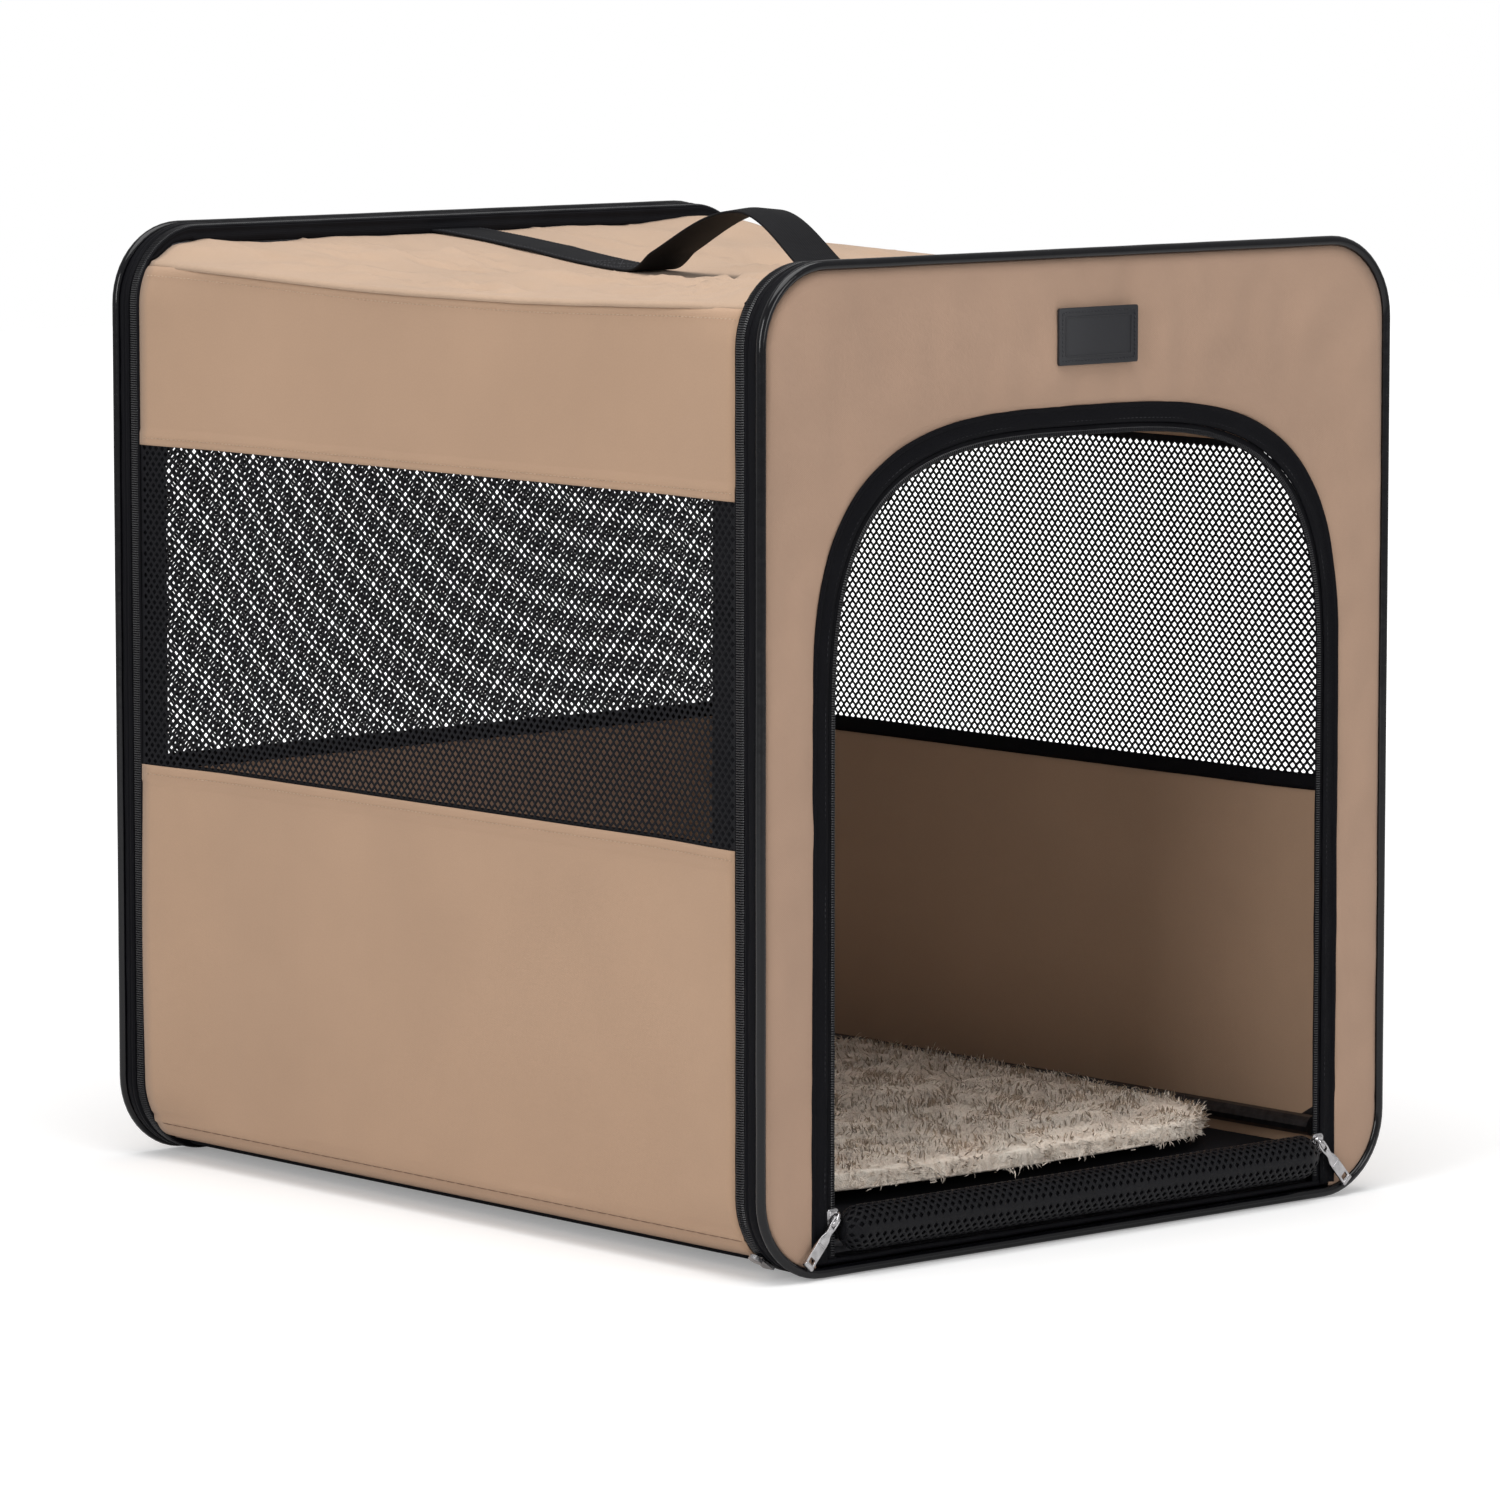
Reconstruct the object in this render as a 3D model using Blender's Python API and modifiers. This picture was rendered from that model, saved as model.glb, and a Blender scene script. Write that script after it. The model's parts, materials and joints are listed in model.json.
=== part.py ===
"""Soft folding dog crate: steel end frames that fold at mid height, cloth walls and covers.

Metres, +Z up, the doorway faces -Y, and the origin is on the floor under the middle of the cabin.
"""
import math

import bmesh
import bpy
from mathutils import Matrix, Vector

for old in list(bpy.data.objects):
    bpy.data.objects.remove(old)

# Overall size of the two end covers and the cabin between them
width = 0.508
depth = 0.610
height = 0.584
sole_gap = 0.0005
corner_radius = 0.050
touch_gap = 0.0003
overrun = 0.004

# End covers: piping, panel, gusset band, zip and inner flange
piping_diameter = 0.006
panel_thickness = 0.0015
gusset_depth = 0.0102
gusset_thickness = 0.0015
gusset_inset = 0.0025
zip_depth = 0.0072
zip_proud = 0.0013
flange_thickness = 0.0012

# Cabin cloth
wall_inset = 0.008
wall_thickness = 0.0012
wall_bottom = 0.0290
wall_drop = 0.029
wall_curl = 0.018
upper_band = 0.107
window_below_knee = 0.04325
cloth_corner = 0.006

# Doorway
door_margin = 0.042
door_header = 0.092
door_shoulder = 0.01075
door_roundness = 3.3
panel_sill = 0.0020
sill_height = 0.0025
binding_width = 0.012
binding_thickness = 0.0024
chain_width = 0.0045
chain_thickness = 0.0024
roll_depth = 0.0210
roll_height = 0.0300
roll_cloth = 0.0022
roll_turns = 2.5
roll_steps = 16
roll_end = 0.0110
roll_end_share = 0.50
roll_end_steps = 3
label_width = 0.0635
label_height = 0.0335
label_thickness = 0.0012
label_x = 0.0062
label_drop = 0.051

# Steel frame, elbows and hinges
tube_diameter = 0.013
knee_offset = 0.008
eye_radius = 0.0036
eye_start = 20
eye_stop = -200
cheek_half = 0.0050
tongue_half = 0.0020
elbow_half = 0.0076
elbow_start = 0.0140
elbow_length = 0.0200
elbow_floor = 0.0050
knee_pin_diameter = 0.0040
pin_head_diameter = 0.0062
pin_head_height = 0.0010
base_hinge_height = 0.055
hinge_plate_thickness = 0.0024
hinge_plate_radius = 0.0065
hinge_plate_reach = 0.0120
hinge_pin_diameter = 0.0050
hinge_gap = 0.0006
rail_end_setback = 0.0090
weld_depth = 0.0010

# Floor pad, mat and handle
pad_thickness = 0.0280
pad_edge = 0.004
mat_side_gap = 0.0103
mat_end_gap = 0.0145
mat_thickness = 0.0240
mat_crown = 0.0030
mat_corner_draw = 0.010
strap_width = 0.038
strap_thickness = 0.0020
loop_rise = 0.0375
loop_front = 0.079
loop_rear = 0.086
loop_fullness = 0.8
loop_steps = 18

# Zip sliders and their pulls
slider_width = 0.0090
slider_length = 0.0120
slider_wall = 0.0016
lug_half = 0.0010
lug_reach = 0.0040
pull_pin_diameter = 0.0016
pull_length = 0.0310
pull_turn = 42
pull_width = 0.0070
pull_thickness = 0.0016
prong_width = 0.0018
door_slider_height = 0.0340
gusset_slider_angle = 53
gusset_pull_diameter = 0.0085

# Windows
net_bar = 0.0050
side_net_columns = 15
side_net_rows = 7
rear_net_columns = 13
rear_net_rows_lower = 1
rear_net_rows_upper = 5

# Shared places, worked out from the sizes above
half_width = width / 2
half_depth = depth / 2
knee_height = (height + sole_gap) / 2
half_rise = (height - sole_gap) / 2
wall_top = height - wall_drop
window_top = wall_top - upper_band
window_bottom = knee_height - window_below_knee
door_half_width = half_width - door_margin
door_top = height - door_header
door_straight_top = knee_height + door_shoulder
label_z = height - label_drop
piping_radius = piping_diameter / 2
cover_plane = half_depth - piping_radius
panel_front = cover_plane
panel_back = panel_front - panel_thickness
gusset_front = half_depth - piping_diameter - touch_gap
gusset_back = gusset_front - gusset_depth
zip_front = gusset_back - touch_gap
flange_front = zip_front - zip_depth
flange_back = flange_front - flange_thickness
cloth_end = flange_back - touch_gap
gusset_inner = gusset_inset + gusset_thickness
tube_radius = tube_diameter / 2
tube_inset = gusset_inner + touch_gap + elbow_half
tube_x = half_width - tube_inset
knee_depth = panel_back - touch_gap / 2 - eye_radius
tube_depth = knee_depth - knee_offset
panel_inset = piping_diameter + touch_gap
wall_outer = half_width - wall_inset
wall_inner = wall_outer - wall_thickness
plate_outer = tube_x - tube_radius - hinge_gap
plate_inner = plate_outer - hinge_plate_thickness
rail_x = plate_inner + weld_depth - tube_radius
rail_end = flange_back - rail_end_setback
pad_reach = rail_x - tube_radius - touch_gap
mat_reach = pad_reach - mat_side_gap
mat_end = cloth_end - mat_end_gap
top_hinge_height = 2 * knee_height - base_hinge_height
top_rail_height = wall_top - wall_thickness - touch_gap - tube_radius
base_rail_height = base_hinge_height - (top_rail_height - top_hinge_height)
binding_front = panel_front + (binding_thickness - panel_thickness) / 2
binding_back = binding_front - binding_thickness
chain_middle = door_half_width - binding_width - touch_gap - chain_width / 2
binding_bottom = sole_gap + panel_inset + panel_sill + touch_gap
roll_centre = tube_depth + tube_radius + touch_gap + roll_depth / 2
roll_middle = binding_bottom + sill_height + touch_gap + roll_height / 2

crate = bpy.data.collections.new("soft_folding_dog_crate")
cutters = bpy.data.collections.new("cutters")
bpy.context.scene.collection.children.link(crate)
bpy.context.scene.collection.children.link(cutters)

bodies = {}

TAN = (0.44, 0.32, 0.225)
BLACK = (0.018, 0.018, 0.021)
CREAM = (0.80, 0.67, 0.54)
STEEL = (0.16, 0.16, 0.17)


def material(name, colour, roughness, metallic):
    made = bpy.data.materials.new(name)
    made.use_nodes = True
    shader = made.node_tree.nodes["Principled BSDF"]
    shader.inputs["Base Color"].default_value = (*colour, 1.0)
    shader.inputs["Roughness"].default_value = roughness
    shader.inputs["Metallic"].default_value = metallic
    made.diffuse_color = (*colour, 1.0)
    return made


def keep(obj, body, colour, roughness, metallic=0.0):
    """Gives a finished piece its own material and notes the body that it moves with."""
    obj.data.materials.append(material(obj.name, colour, roughness, metallic))
    bodies.setdefault(body, []).append(obj)


def arc(centre, radius, start, stop, steps):
    """Points of an arc, in degrees, with both ends."""
    turns = [math.radians(start + (stop - start) * n / steps) for n in range(steps + 1)]
    return [(centre[0] + radius * math.cos(t), centre[1] + radius * math.sin(t)) for t in turns]


def plate(name, loops, thickness):
    """A flat piece from closed outlines in local XY, holes included, as thick as said."""
    curve = bpy.data.curves.new(name, "CURVE")
    curve.dimensions = "2D"
    curve.fill_mode = "BOTH"
    curve.extrude = thickness / 2
    for loop in loops:
        spline = curve.splines.new("POLY")
        spline.points.add(len(loop) - 1)
        for point, (x, y) in zip(spline.points, loop):
            point.co = (x, y, 0, 1)
        spline.use_cyclic_u = True
    obj = bpy.data.objects.new(name, curve)
    crate.objects.link(obj)
    return obj


def tube(name, points, diameter, resolution):
    """A round bar or cord along points in world space."""
    curve = bpy.data.curves.new(name, "CURVE")
    curve.dimensions = "3D"
    curve.bevel_depth = diameter / 2
    curve.bevel_resolution = resolution
    curve.use_fill_caps = True
    spline = curve.splines.new("POLY")
    spline.points.add(len(points) - 1)
    for point, place in zip(spline.points, points):
        point.co = (*place, 1)
    obj = bpy.data.objects.new(name, curve)
    crate.objects.link(obj)
    return obj


def solid(obj):
    """The same piece as one closed mesh, its cuts and joints made, so that it can be cut again."""
    bpy.context.view_layer.update()
    graph = bpy.context.evaluated_depsgraph_get()
    mesh = bpy.data.meshes.new_from_object(obj.evaluated_get(graph))
    shape = bmesh.new()
    shape.from_mesh(mesh)
    bmesh.ops.remove_doubles(shape, verts=shape.verts, dist=0.000001)
    bmesh.ops.recalc_face_normals(shape, faces=shape.faces)
    if shape.calc_volume(signed=True) < 0:
        bmesh.ops.reverse_faces(shape, faces=shape.faces)
    shape.to_mesh(mesh)
    shape.free()
    name = obj.name
    place = obj.matrix_world.copy()
    for step in obj.modifiers:
        if step.type == "BOOLEAN":
            bpy.data.objects.remove(step.object)
    bpy.data.objects.remove(obj)
    made = bpy.data.objects.new(name, mesh)
    made.matrix_world = place
    crate.objects.link(made)
    return made


def box(name, low, high):
    shape = bmesh.new()
    bmesh.ops.create_cube(shape, size=1.0)
    low, high = Vector(low), Vector(high)
    for vert in shape.verts:
        vert.co = Vector(((low + high) / 2)[n] + vert.co[n] * (high - low)[n] for n in range(3))
    mesh = bpy.data.meshes.new(name)
    shape.to_mesh(mesh)
    shape.free()
    obj = bpy.data.objects.new(name, mesh)
    crate.objects.link(obj)
    return obj


def cylinder(name, start, stop, radius, sides):
    """A round bar between two points along X or Z."""
    start, stop = Vector(start), Vector(stop)
    shape = bmesh.new()
    bmesh.ops.create_cone(
        shape, cap_ends=True, segments=sides, radius1=radius, radius2=radius, depth=(stop - start).length
    )
    mesh = bpy.data.meshes.new(name)
    shape.to_mesh(mesh)
    shape.free()
    obj = bpy.data.objects.new(name, mesh)
    obj.location = (start + stop) / 2
    if abs((stop - start).x) > abs((stop - start).z):
        obj.rotation_euler = (0, math.pi / 2, 0)
    crate.objects.link(obj)
    return obj


def combine(obj, others, operation):
    """Cuts others out of a mesh piece, or joins them to it."""
    for other in others:
        step = obj.modifiers.new(operation.lower(), "BOOLEAN")
        step.operation = operation
        step.solver = "EXACT"
        step.object = other
        other.hide_render = True
        other.display_type = "WIRE"
        cutters.objects.link(other)
        crate.objects.unlink(other)
    return obj


class Half:
    """Upper or lower half of the front or rear end, with the knee line as its zero height."""

    def __init__(self, end, half):
        self.end = end
        self.half = half
        self.side = -1 if end == "front" else 1
        self.up = 1 if half == "upper" else -1
        self.body = f"{end}_{half}"

    def name(self, piece):
        return f"{self.end}_{piece}_{self.half}"

    def point(self, x, out, rise):
        return (x, self.side * out, knee_height + self.up * rise)

    def flat(self, name, loops, front, back):
        """A sheet in the plane of the end, between two distances out from the middle."""
        raised = [[(x, knee_height + self.up * rise) for x, rise in loop] for loop in loops]
        obj = plate(name, raised, front - back)
        obj.location = (0, self.side * (front + back) / 2, 0)
        obj.rotation_euler = (math.pi / 2, 0, 0)
        return obj


def end_path(inset, start):
    """Half of the end's round-cornered outline, as x and rise, at a distance inside it."""
    reach = half_width - inset
    radius = corner_radius - inset
    centre = (half_width - corner_radius, half_rise - corner_radius)
    right = [(reach, start), *arc(centre, radius, 0, 90, 6)]
    return [(-x, rise) for x, rise in right] + right[::-1]


def strip(outer_inset, inner_inset):
    """A closed outline of a band that runs round the half, between two insets."""
    start = touch_gap / 2
    return end_path(outer_inset, start) + end_path(inner_inset, start)[::-1]


def cloth_path(half, start):
    """The cabin's inner section, where the flange's opening lies."""
    edge = wall_top - knee_height if half.up > 0 else knee_height - wall_bottom
    limit = edge - wall_thickness
    reach = wall_inner
    centre = (reach - cloth_corner, limit - cloth_corner)
    right = [(reach, start), *arc(centre, cloth_corner, 0, 90, 3)]
    return [(-x, rise) for x, rise in right] + right[::-1]


def arch(inset, low):
    """The doorway's outline from one leg to the other, as x and height, at a distance inside it."""
    reach = door_half_width - inset
    crown = door_top - inset - door_straight_top
    right = [(reach, low)]
    for n in range(11):
        turn = math.radians(90 * n / 10)
        share = 2 / door_roundness
        x = reach * math.cos(turn) ** share if n < 10 else 0.0
        right.append((x, door_straight_top + crown * math.sin(turn) ** share))
    return [(-x, z) for x, z in right[:-1]] + right[::-1]


def as_rise(points):
    return [(x, z - knee_height) for x, z in points]


def sill_path(inset, bottom):
    """The doorway's lower outline: two legs and the sill between them."""
    reach = door_half_width - inset
    drop = knee_height - bottom
    start = touch_gap / 2
    return [(-reach, start), (-reach, drop), (reach, drop), (reach, start)]


def build_cover(half):
    """Piping, gusset band, zip and flange of one half end."""
    middle = [half.point(x, cover_plane, rise) for x, rise in end_path(piping_radius, touch_gap / 2)]
    keep(tube(half.name("piping"), middle, piping_diameter, 2), half.body, BLACK, 0.25)
    loops = [strip(gusset_inset, gusset_inner)]
    keep(half.flat(half.name("gusset"), loops, gusset_front, gusset_back), half.body, BLACK, 0.8)
    loops = [strip(gusset_inset - zip_proud, gusset_inner)]
    zipper = solid(half.flat(half.name("zipper"), loops, zip_front, flange_back))
    loops = [end_path(gusset_inset, touch_gap) + cloth_path(half, touch_gap)[::-1]]
    flange = solid(half.flat(half.name("flange"), loops, flange_front, flange_back + touch_gap / 2))
    keep(solid(combine(zipper, [flange], "UNION")), half.body, BLACK, 0.5)


def build_front_panels():
    lower, upper = Half("front", "lower"), Half("front", "upper")
    start = touch_gap / 2
    sill = sole_gap + panel_inset + panel_sill
    outline = end_path(panel_inset, start) + sill_path(-touch_gap, sill)[::-1]
    keep(lower.flat(lower.name("panel"), [outline], panel_front, panel_back), lower.body, TAN, 0.85)
    outline = end_path(panel_inset, start) + as_rise(arch(-touch_gap, knee_height + start))[::-1]
    keep(upper.flat(upper.name("panel"), [outline], panel_front, panel_back), upper.body, TAN, 0.85)


def build_doorway():
    """Binding round the doorway, and the half of the zip that runs inside it."""
    lower, upper = Half("front", "lower"), Half("front", "upper")
    start = touch_gap / 2
    low = knee_height + start
    sill = binding_bottom + sill_height
    loops = [sill_path(0, binding_bottom) + sill_path(binding_width, sill)[::-1]]
    binding = lower.flat("door_binding_lower", loops, binding_front, binding_back)
    keep(binding, lower.body, BLACK, 0.6)
    loops = [as_rise(arch(0, low)) + as_rise(arch(binding_width, low))[::-1]]
    binding = upper.flat("door_binding_upper", loops, binding_front, binding_back)
    keep(binding, upper.body, BLACK, 0.6)
    chain_back = binding_front - chain_thickness
    drop = knee_height - sill - touch_gap
    outer, inner = chain_middle + chain_width / 2, chain_middle - chain_width / 2
    for side, sign in (("left", -1), ("right", 1)):
        leg = [(outer, start), (outer, drop), (inner, drop), (inner, start)]
        loops = [[(sign * x, rise) for x, rise in leg]]
        chain = lower.flat(f"door_zipper_{side}", loops, binding_front, chain_back)
        keep(chain, lower.body, BLACK, 0.5)
    outer_inset = binding_width + touch_gap
    loops = [as_rise(arch(outer_inset, low)) + as_rise(arch(outer_inset + chain_width, low))[::-1]]
    keep(upper.flat("door_zipper_arch", loops, binding_front, chain_back), upper.body, BLACK, 0.5)


def build_roll():
    """The mesh door, unzipped and rolled down on the sill: one sheet wound into an oval."""
    pitch = roll_cloth + 2 * touch_gap
    core = pitch * roll_turns + roll_cloth
    outer, inner = [], []
    for n in range(int(roll_steps * roll_turns) + 1):
        turn = 2 * math.pi * n / roll_steps
        wound = pitch * (roll_turns - n / roll_steps)
        for face, bulge in ((inner, 0.0), (outer, roll_cloth)):
            y = roll_depth / 2 - core + wound + bulge
            z = roll_height / 2 - core + wound + bulge
            face.append((y * math.cos(turn), z * math.sin(turn)))
    length = 2 * (chain_middle - slider_width / 2 - touch_gap)
    obj = round_ends(solid(plate("door_roll", [outer + inner[::-1]], length)), length / 2)
    obj.location = (0, -roll_centre, roll_middle)
    obj.rotation_euler = (math.pi / 2, 0, math.pi / 2)
    keep(obj, "front_lower", BLACK, 0.9)


def round_ends(obj, half):
    """Narrows the roll towards both ends, along its local Z."""
    shape = bmesh.new()
    shape.from_mesh(obj.data)
    start = half - roll_end
    for n in range(roll_end_steps):
        for side in (-1, 1):
            bmesh.ops.bisect_plane(
                shape,
                geom=shape.verts[:] + shape.edges[:] + shape.faces[:],
                plane_co=(0, 0, side * (start + roll_end * n / roll_end_steps)),
                plane_no=(0, 0, 1),
                dist=0.000001,
            )
    for vert in shape.verts:
        past = max(abs(vert.co.z) - start, 0.0) / roll_end
        share = 1 - (1 - roll_end_share) * past**2
        vert.co.x *= share
        vert.co.y *= share
    shape.to_mesh(obj.data)
    shape.free()
    return obj


def net_loops(low, high, columns, rows):
    """A window's outline and its diamond gaps, in staggered rows."""
    outline = [(low[0], low[1]), (high[0], low[1]), (high[0], high[1]), (low[0], high[1])]
    step_x = (high[0] - low[0] - net_bar) / columns
    step_y = (high[1] - low[1] - net_bar) / (rows + 1)
    loops = [outline]
    for row in range(rows):
        shifted = row % 2
        for column in range(columns - shifted):
            x = low[0] + net_bar / 2 + step_x * (column + 0.5 + shifted / 2)
            y = low[1] + net_bar / 2 + step_y * (row + 1)
            slope = math.hypot(step_x / 2, step_y)
            reach_x = step_x / 2 - net_bar / 2 * slope / step_y
            reach_y = step_y - net_bar / 2 * slope / (step_x / 2)
            loops.append([(x + reach_x, y), (x, y + reach_y), (x - reach_x, y), (x, y - reach_y)])
    return loops


def build_rear_panels():
    lower, upper = Half("rear", "lower"), Half("rear", "upper")
    start = touch_gap / 2
    reach = half_width - panel_inset
    for half, edge, columns, rows in (
        (lower, knee_height - window_bottom, rear_net_columns, rear_net_rows_lower),
        (upper, window_top - knee_height, rear_net_columns, rear_net_rows_upper),
    ):
        path = end_path(panel_inset, edge + start)
        panel = half.flat(half.name("panel"), [path], panel_front, panel_back)
        keep(panel, half.body, TAN, 0.85)
        loops = net_loops((-reach, start), (reach, edge - start), columns, rows)
        window = half.flat(half.name("window"), loops, panel_front, panel_back)
        keep(window, half.body, BLACK, 0.7)


def build_frame(half):
    """One bent steel tube, from the elbow on one side round the end to the elbow on the other."""
    hinge = knee_height - base_hinge_height
    start = elbow_start + elbow_floor + touch_gap
    path = [half.point(x, tube_depth, rise) for x, rise in end_path(tube_inset, start)]
    frame = solid(tube(half.name("frame"), path, tube_diameter, 4))
    bore = cylinder(
        half.name("frame_hinge_bore"),
        half.point(-half_width, tube_depth, hinge),
        half.point(half_width, tube_depth, hinge),
        hinge_pin_diameter / 2 + touch_gap,
        12,
    )
    combine(frame, [bore], "DIFFERENCE")
    keep(frame, half.body, STEEL, 0.35, 1.0)


def elbow_outline():
    """Side view of an elbow, as distance out and rise: a socket block that narrows to an eye."""
    far = elbow_start + elbow_length
    low, high = tube_depth - elbow_half, tube_depth + elbow_half
    eye = arc((knee_depth, 0), eye_radius, eye_start, eye_stop, 8)
    return [(low, far), (high, far), (high, elbow_start), *eye, (low, elbow_start)]


def build_elbow(half, side, sign):
    """One elbow: a fork on the lower tube or a tongue on the upper one, with a socket for the tube."""
    fork = half.up < 0
    name = f"{half.end}_knee_{'fork' if fork else 'tongue'}_{side}"
    x = sign * tube_x
    outline = [(half.side * out, knee_height + half.up * rise) for out, rise in elbow_outline()]
    blank = plate(name, [outline], 2 * elbow_half)
    blank.rotation_euler = (math.pi / 2, 0, math.pi / 2)
    blank.location = (x, 0, 0)
    blank = solid(blank)
    far = elbow_start + elbow_length
    socket_floor = half.point(x, tube_depth, elbow_start + elbow_floor)
    socket_mouth = half.point(x, tube_depth, far + overrun)
    pin_start = half.point(x - 2 * elbow_half, knee_depth, 0)
    pin_stop = half.point(x + 2 * elbow_half, knee_depth, 0)
    cuts = [
        cylinder(name + "_socket", socket_floor, socket_mouth, tube_radius + touch_gap, 16),
        cylinder(name + "_pin_bore", pin_start, pin_stop, knee_pin_diameter / 2 + touch_gap, 16),
    ]
    trim = elbow_start - touch_gap
    kept = cheek_half if fork else tongue_half
    for n in (-1, 1):
        cuts.append(slab(f"{name}_side{n}", half, x + n * kept, x + n * (elbow_half + overrun), trim))
    if fork:
        slot = tongue_half + touch_gap
        cuts.append(slab(name + "_slot", half, x - slot, x + slot, trim))
    keep(solid(combine(blank, cuts, "DIFFERENCE")), half.body, BLACK, 0.4)


def slab(name, half, x1, x2, trim):
    """A cutter over the eye's end of an elbow, between two places along X."""
    one = half.point(x1, tube_depth - elbow_half - overrun, -eye_radius - overrun)
    other = half.point(x2, knee_depth + eye_radius + overrun, trim)
    return box(name, [min(a, b) for a, b in zip(one, other)], [max(a, b) for a, b in zip(one, other)])


def build_knee_pin(half, side, sign):
    """The rivet through one fork and its tongue."""
    reach = cheek_half + touch_gap
    head = reach + pin_head_height
    shank, rim = knee_pin_diameter / 2, pin_head_diameter / 2
    profile = [(0, head), (rim, head), (rim, reach), (shank, reach)]
    profile += [(x, -z) for x, z in reversed(profile)]
    name = f"{half.end}_knee_pin_{side}"
    mesh = bpy.data.meshes.new(name)
    edges = [(n, n + 1) for n in range(len(profile) - 1)]
    mesh.from_pydata([(x, 0, z) for x, z in profile], edges, [])
    pin = bpy.data.objects.new(name, mesh)
    crate.objects.link(pin)
    screw = pin.modifiers.new("screw", "SCREW")
    screw.steps = 16
    screw.render_steps = 16
    screw.use_merge_vertices = True
    screw.merge_threshold = 0.00001
    pin.rotation_euler = (0, math.pi / 2, 0)
    pin.location = half.point(sign * tube_x, knee_depth, 0)
    keep(pin, half.body, STEEL, 0.3, 1.0)


def build_rail(level, hinge, z, side, sign):
    """A straight side tube with a hinge plate welded on each end, and the pins for the end frames."""
    name = f"{level}_rail_{side}"
    line = [(sign * rail_x, -rail_end, z), (sign * rail_x, rail_end, z)]
    rail = solid(tube(name, line, tube_diameter, 4))
    grip = rail_end - hinge_plate_reach
    lean = math.degrees(math.atan2(z - hinge, grip - tube_depth))
    outline = arc((tube_depth, hinge), hinge_plate_radius, lean + 270, lean + 90, 8)
    outline += arc((grip, z), hinge_plate_radius, lean + 90, lean - 90, 8)
    welded = []
    for end in (-1, 1):
        ear = plate(f"{name}_plate{end}", [[(end * y, up) for y, up in outline]], hinge_plate_thickness)
        ear.rotation_euler = (math.pi / 2, 0, math.pi / 2)
        ear.location = (sign * (plate_inner + plate_outer) / 2, 0, 0)
        welded.append(solid(ear))
        inside = (sign * (plate_inner + plate_outer) / 2, end * tube_depth, hinge)
        outside = (sign * (half_width - gusset_inner - touch_gap), end * tube_depth, hinge)
        welded.append(cylinder(f"{name}_pin{end}", inside, outside, hinge_pin_diameter / 2, 14))
    keep(solid(combine(rail, welded, "UNION")), level, STEEL, 0.35, 1.0)


def build_walls():
    """Side cloth: lower panel with its curled hem, mesh window, upper band."""
    for side, sign in (("left", -1), ("right", 1)):
        outer, inner = wall_outer, wall_inner
        start = window_bottom - touch_gap / 2
        hem_outer = arc((outer - wall_curl, wall_bottom), wall_curl, 0, -90, 5)
        hem_inner = arc((outer - wall_curl, wall_bottom), wall_curl - wall_thickness, -90, 0, 5)
        seam = pad_reach + touch_gap
        tuck = [(seam, hem_outer[-1][1]), (seam, hem_inner[0][1])]
        section = [(inner, start), (outer, start), *hem_outer, *tuck, *hem_inner]
        section = [(sign * x, z) for x, z in section]
        lower = plate(f"{side}_wall_lower", [section], 2 * cloth_end)
        lower.rotation_euler = (math.pi / 2, 0, 0)
        keep(lower, "base", TAN, 0.85)
        middle = sign * (outer + inner) / 2
        for piece, bottom, top in (
            ("window", window_bottom + touch_gap / 2, window_top - touch_gap / 2),
            ("wall_upper", window_top + touch_gap / 2, wall_top - wall_thickness - touch_gap),
        ):
            low, high = (-cloth_end, bottom), (cloth_end, top)
            if piece == "window":
                loops = net_loops(low, high, side_net_columns, side_net_rows)
            else:
                loops = [[low, (high[0], low[1]), high, (low[0], high[1])]]
            sheet = plate(f"{side}_{piece}", loops, wall_thickness)
            sheet.rotation_euler = (math.pi / 2, 0, math.pi / 2)
            sheet.location = (middle, 0, 0)
            keep(sheet, "base", BLACK if piece == "window" else TAN, 0.85)


def build_top():
    sheet = box(
        "top_panel",
        (-wall_outer, -cloth_end, wall_top - wall_thickness),
        (wall_outer, cloth_end, wall_top),
    )
    keep(sheet, "top", TAN, 0.85)


def build_floor():
    """Padded floor between the rails, and the loose mat on it."""
    pad = box("floor_pad", (-pad_reach, -cloth_end, 0), (pad_reach, cloth_end, pad_thickness))
    bevel = pad.modifiers.new("bevel", "BEVEL")
    bevel.width = pad_edge
    bevel.segments = 2
    keep(pad, "base", BLACK, 0.9)

    shape = bmesh.new()
    bmesh.ops.create_cube(shape, size=1.0)
    level = [e for e in shape.edges if abs(e.verts[0].co.z - e.verts[1].co.z) < 0.5]
    bmesh.ops.subdivide_edges(shape, edges=level, cuts=3, use_grid_fill=True)
    for vert in shape.verts:
        share_x, share_y = vert.co.x * 2, vert.co.y * 2
        drawn = mat_corner_draw * (share_x * share_y) ** 2
        x = share_x * (mat_reach - drawn)
        y = share_y * (mat_end - drawn)
        crown = mat_crown * (1 - max(abs(share_x), abs(share_y)) ** 2)
        rise = mat_thickness + crown if vert.co.z > 0 else 0.0
        vert.co = (x, y, pad_thickness + touch_gap + rise)
    mesh = bpy.data.meshes.new("fleece_mat")
    shape.to_mesh(mesh)
    shape.free()
    mat = bpy.data.objects.new("fleece_mat", mesh)
    crate.objects.link(mat)
    smooth = mat.modifiers.new("smooth", "SUBSURF")
    smooth.levels = 2
    smooth.render_levels = 2
    keep(mat, "base", CREAM, 1.0)


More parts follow.
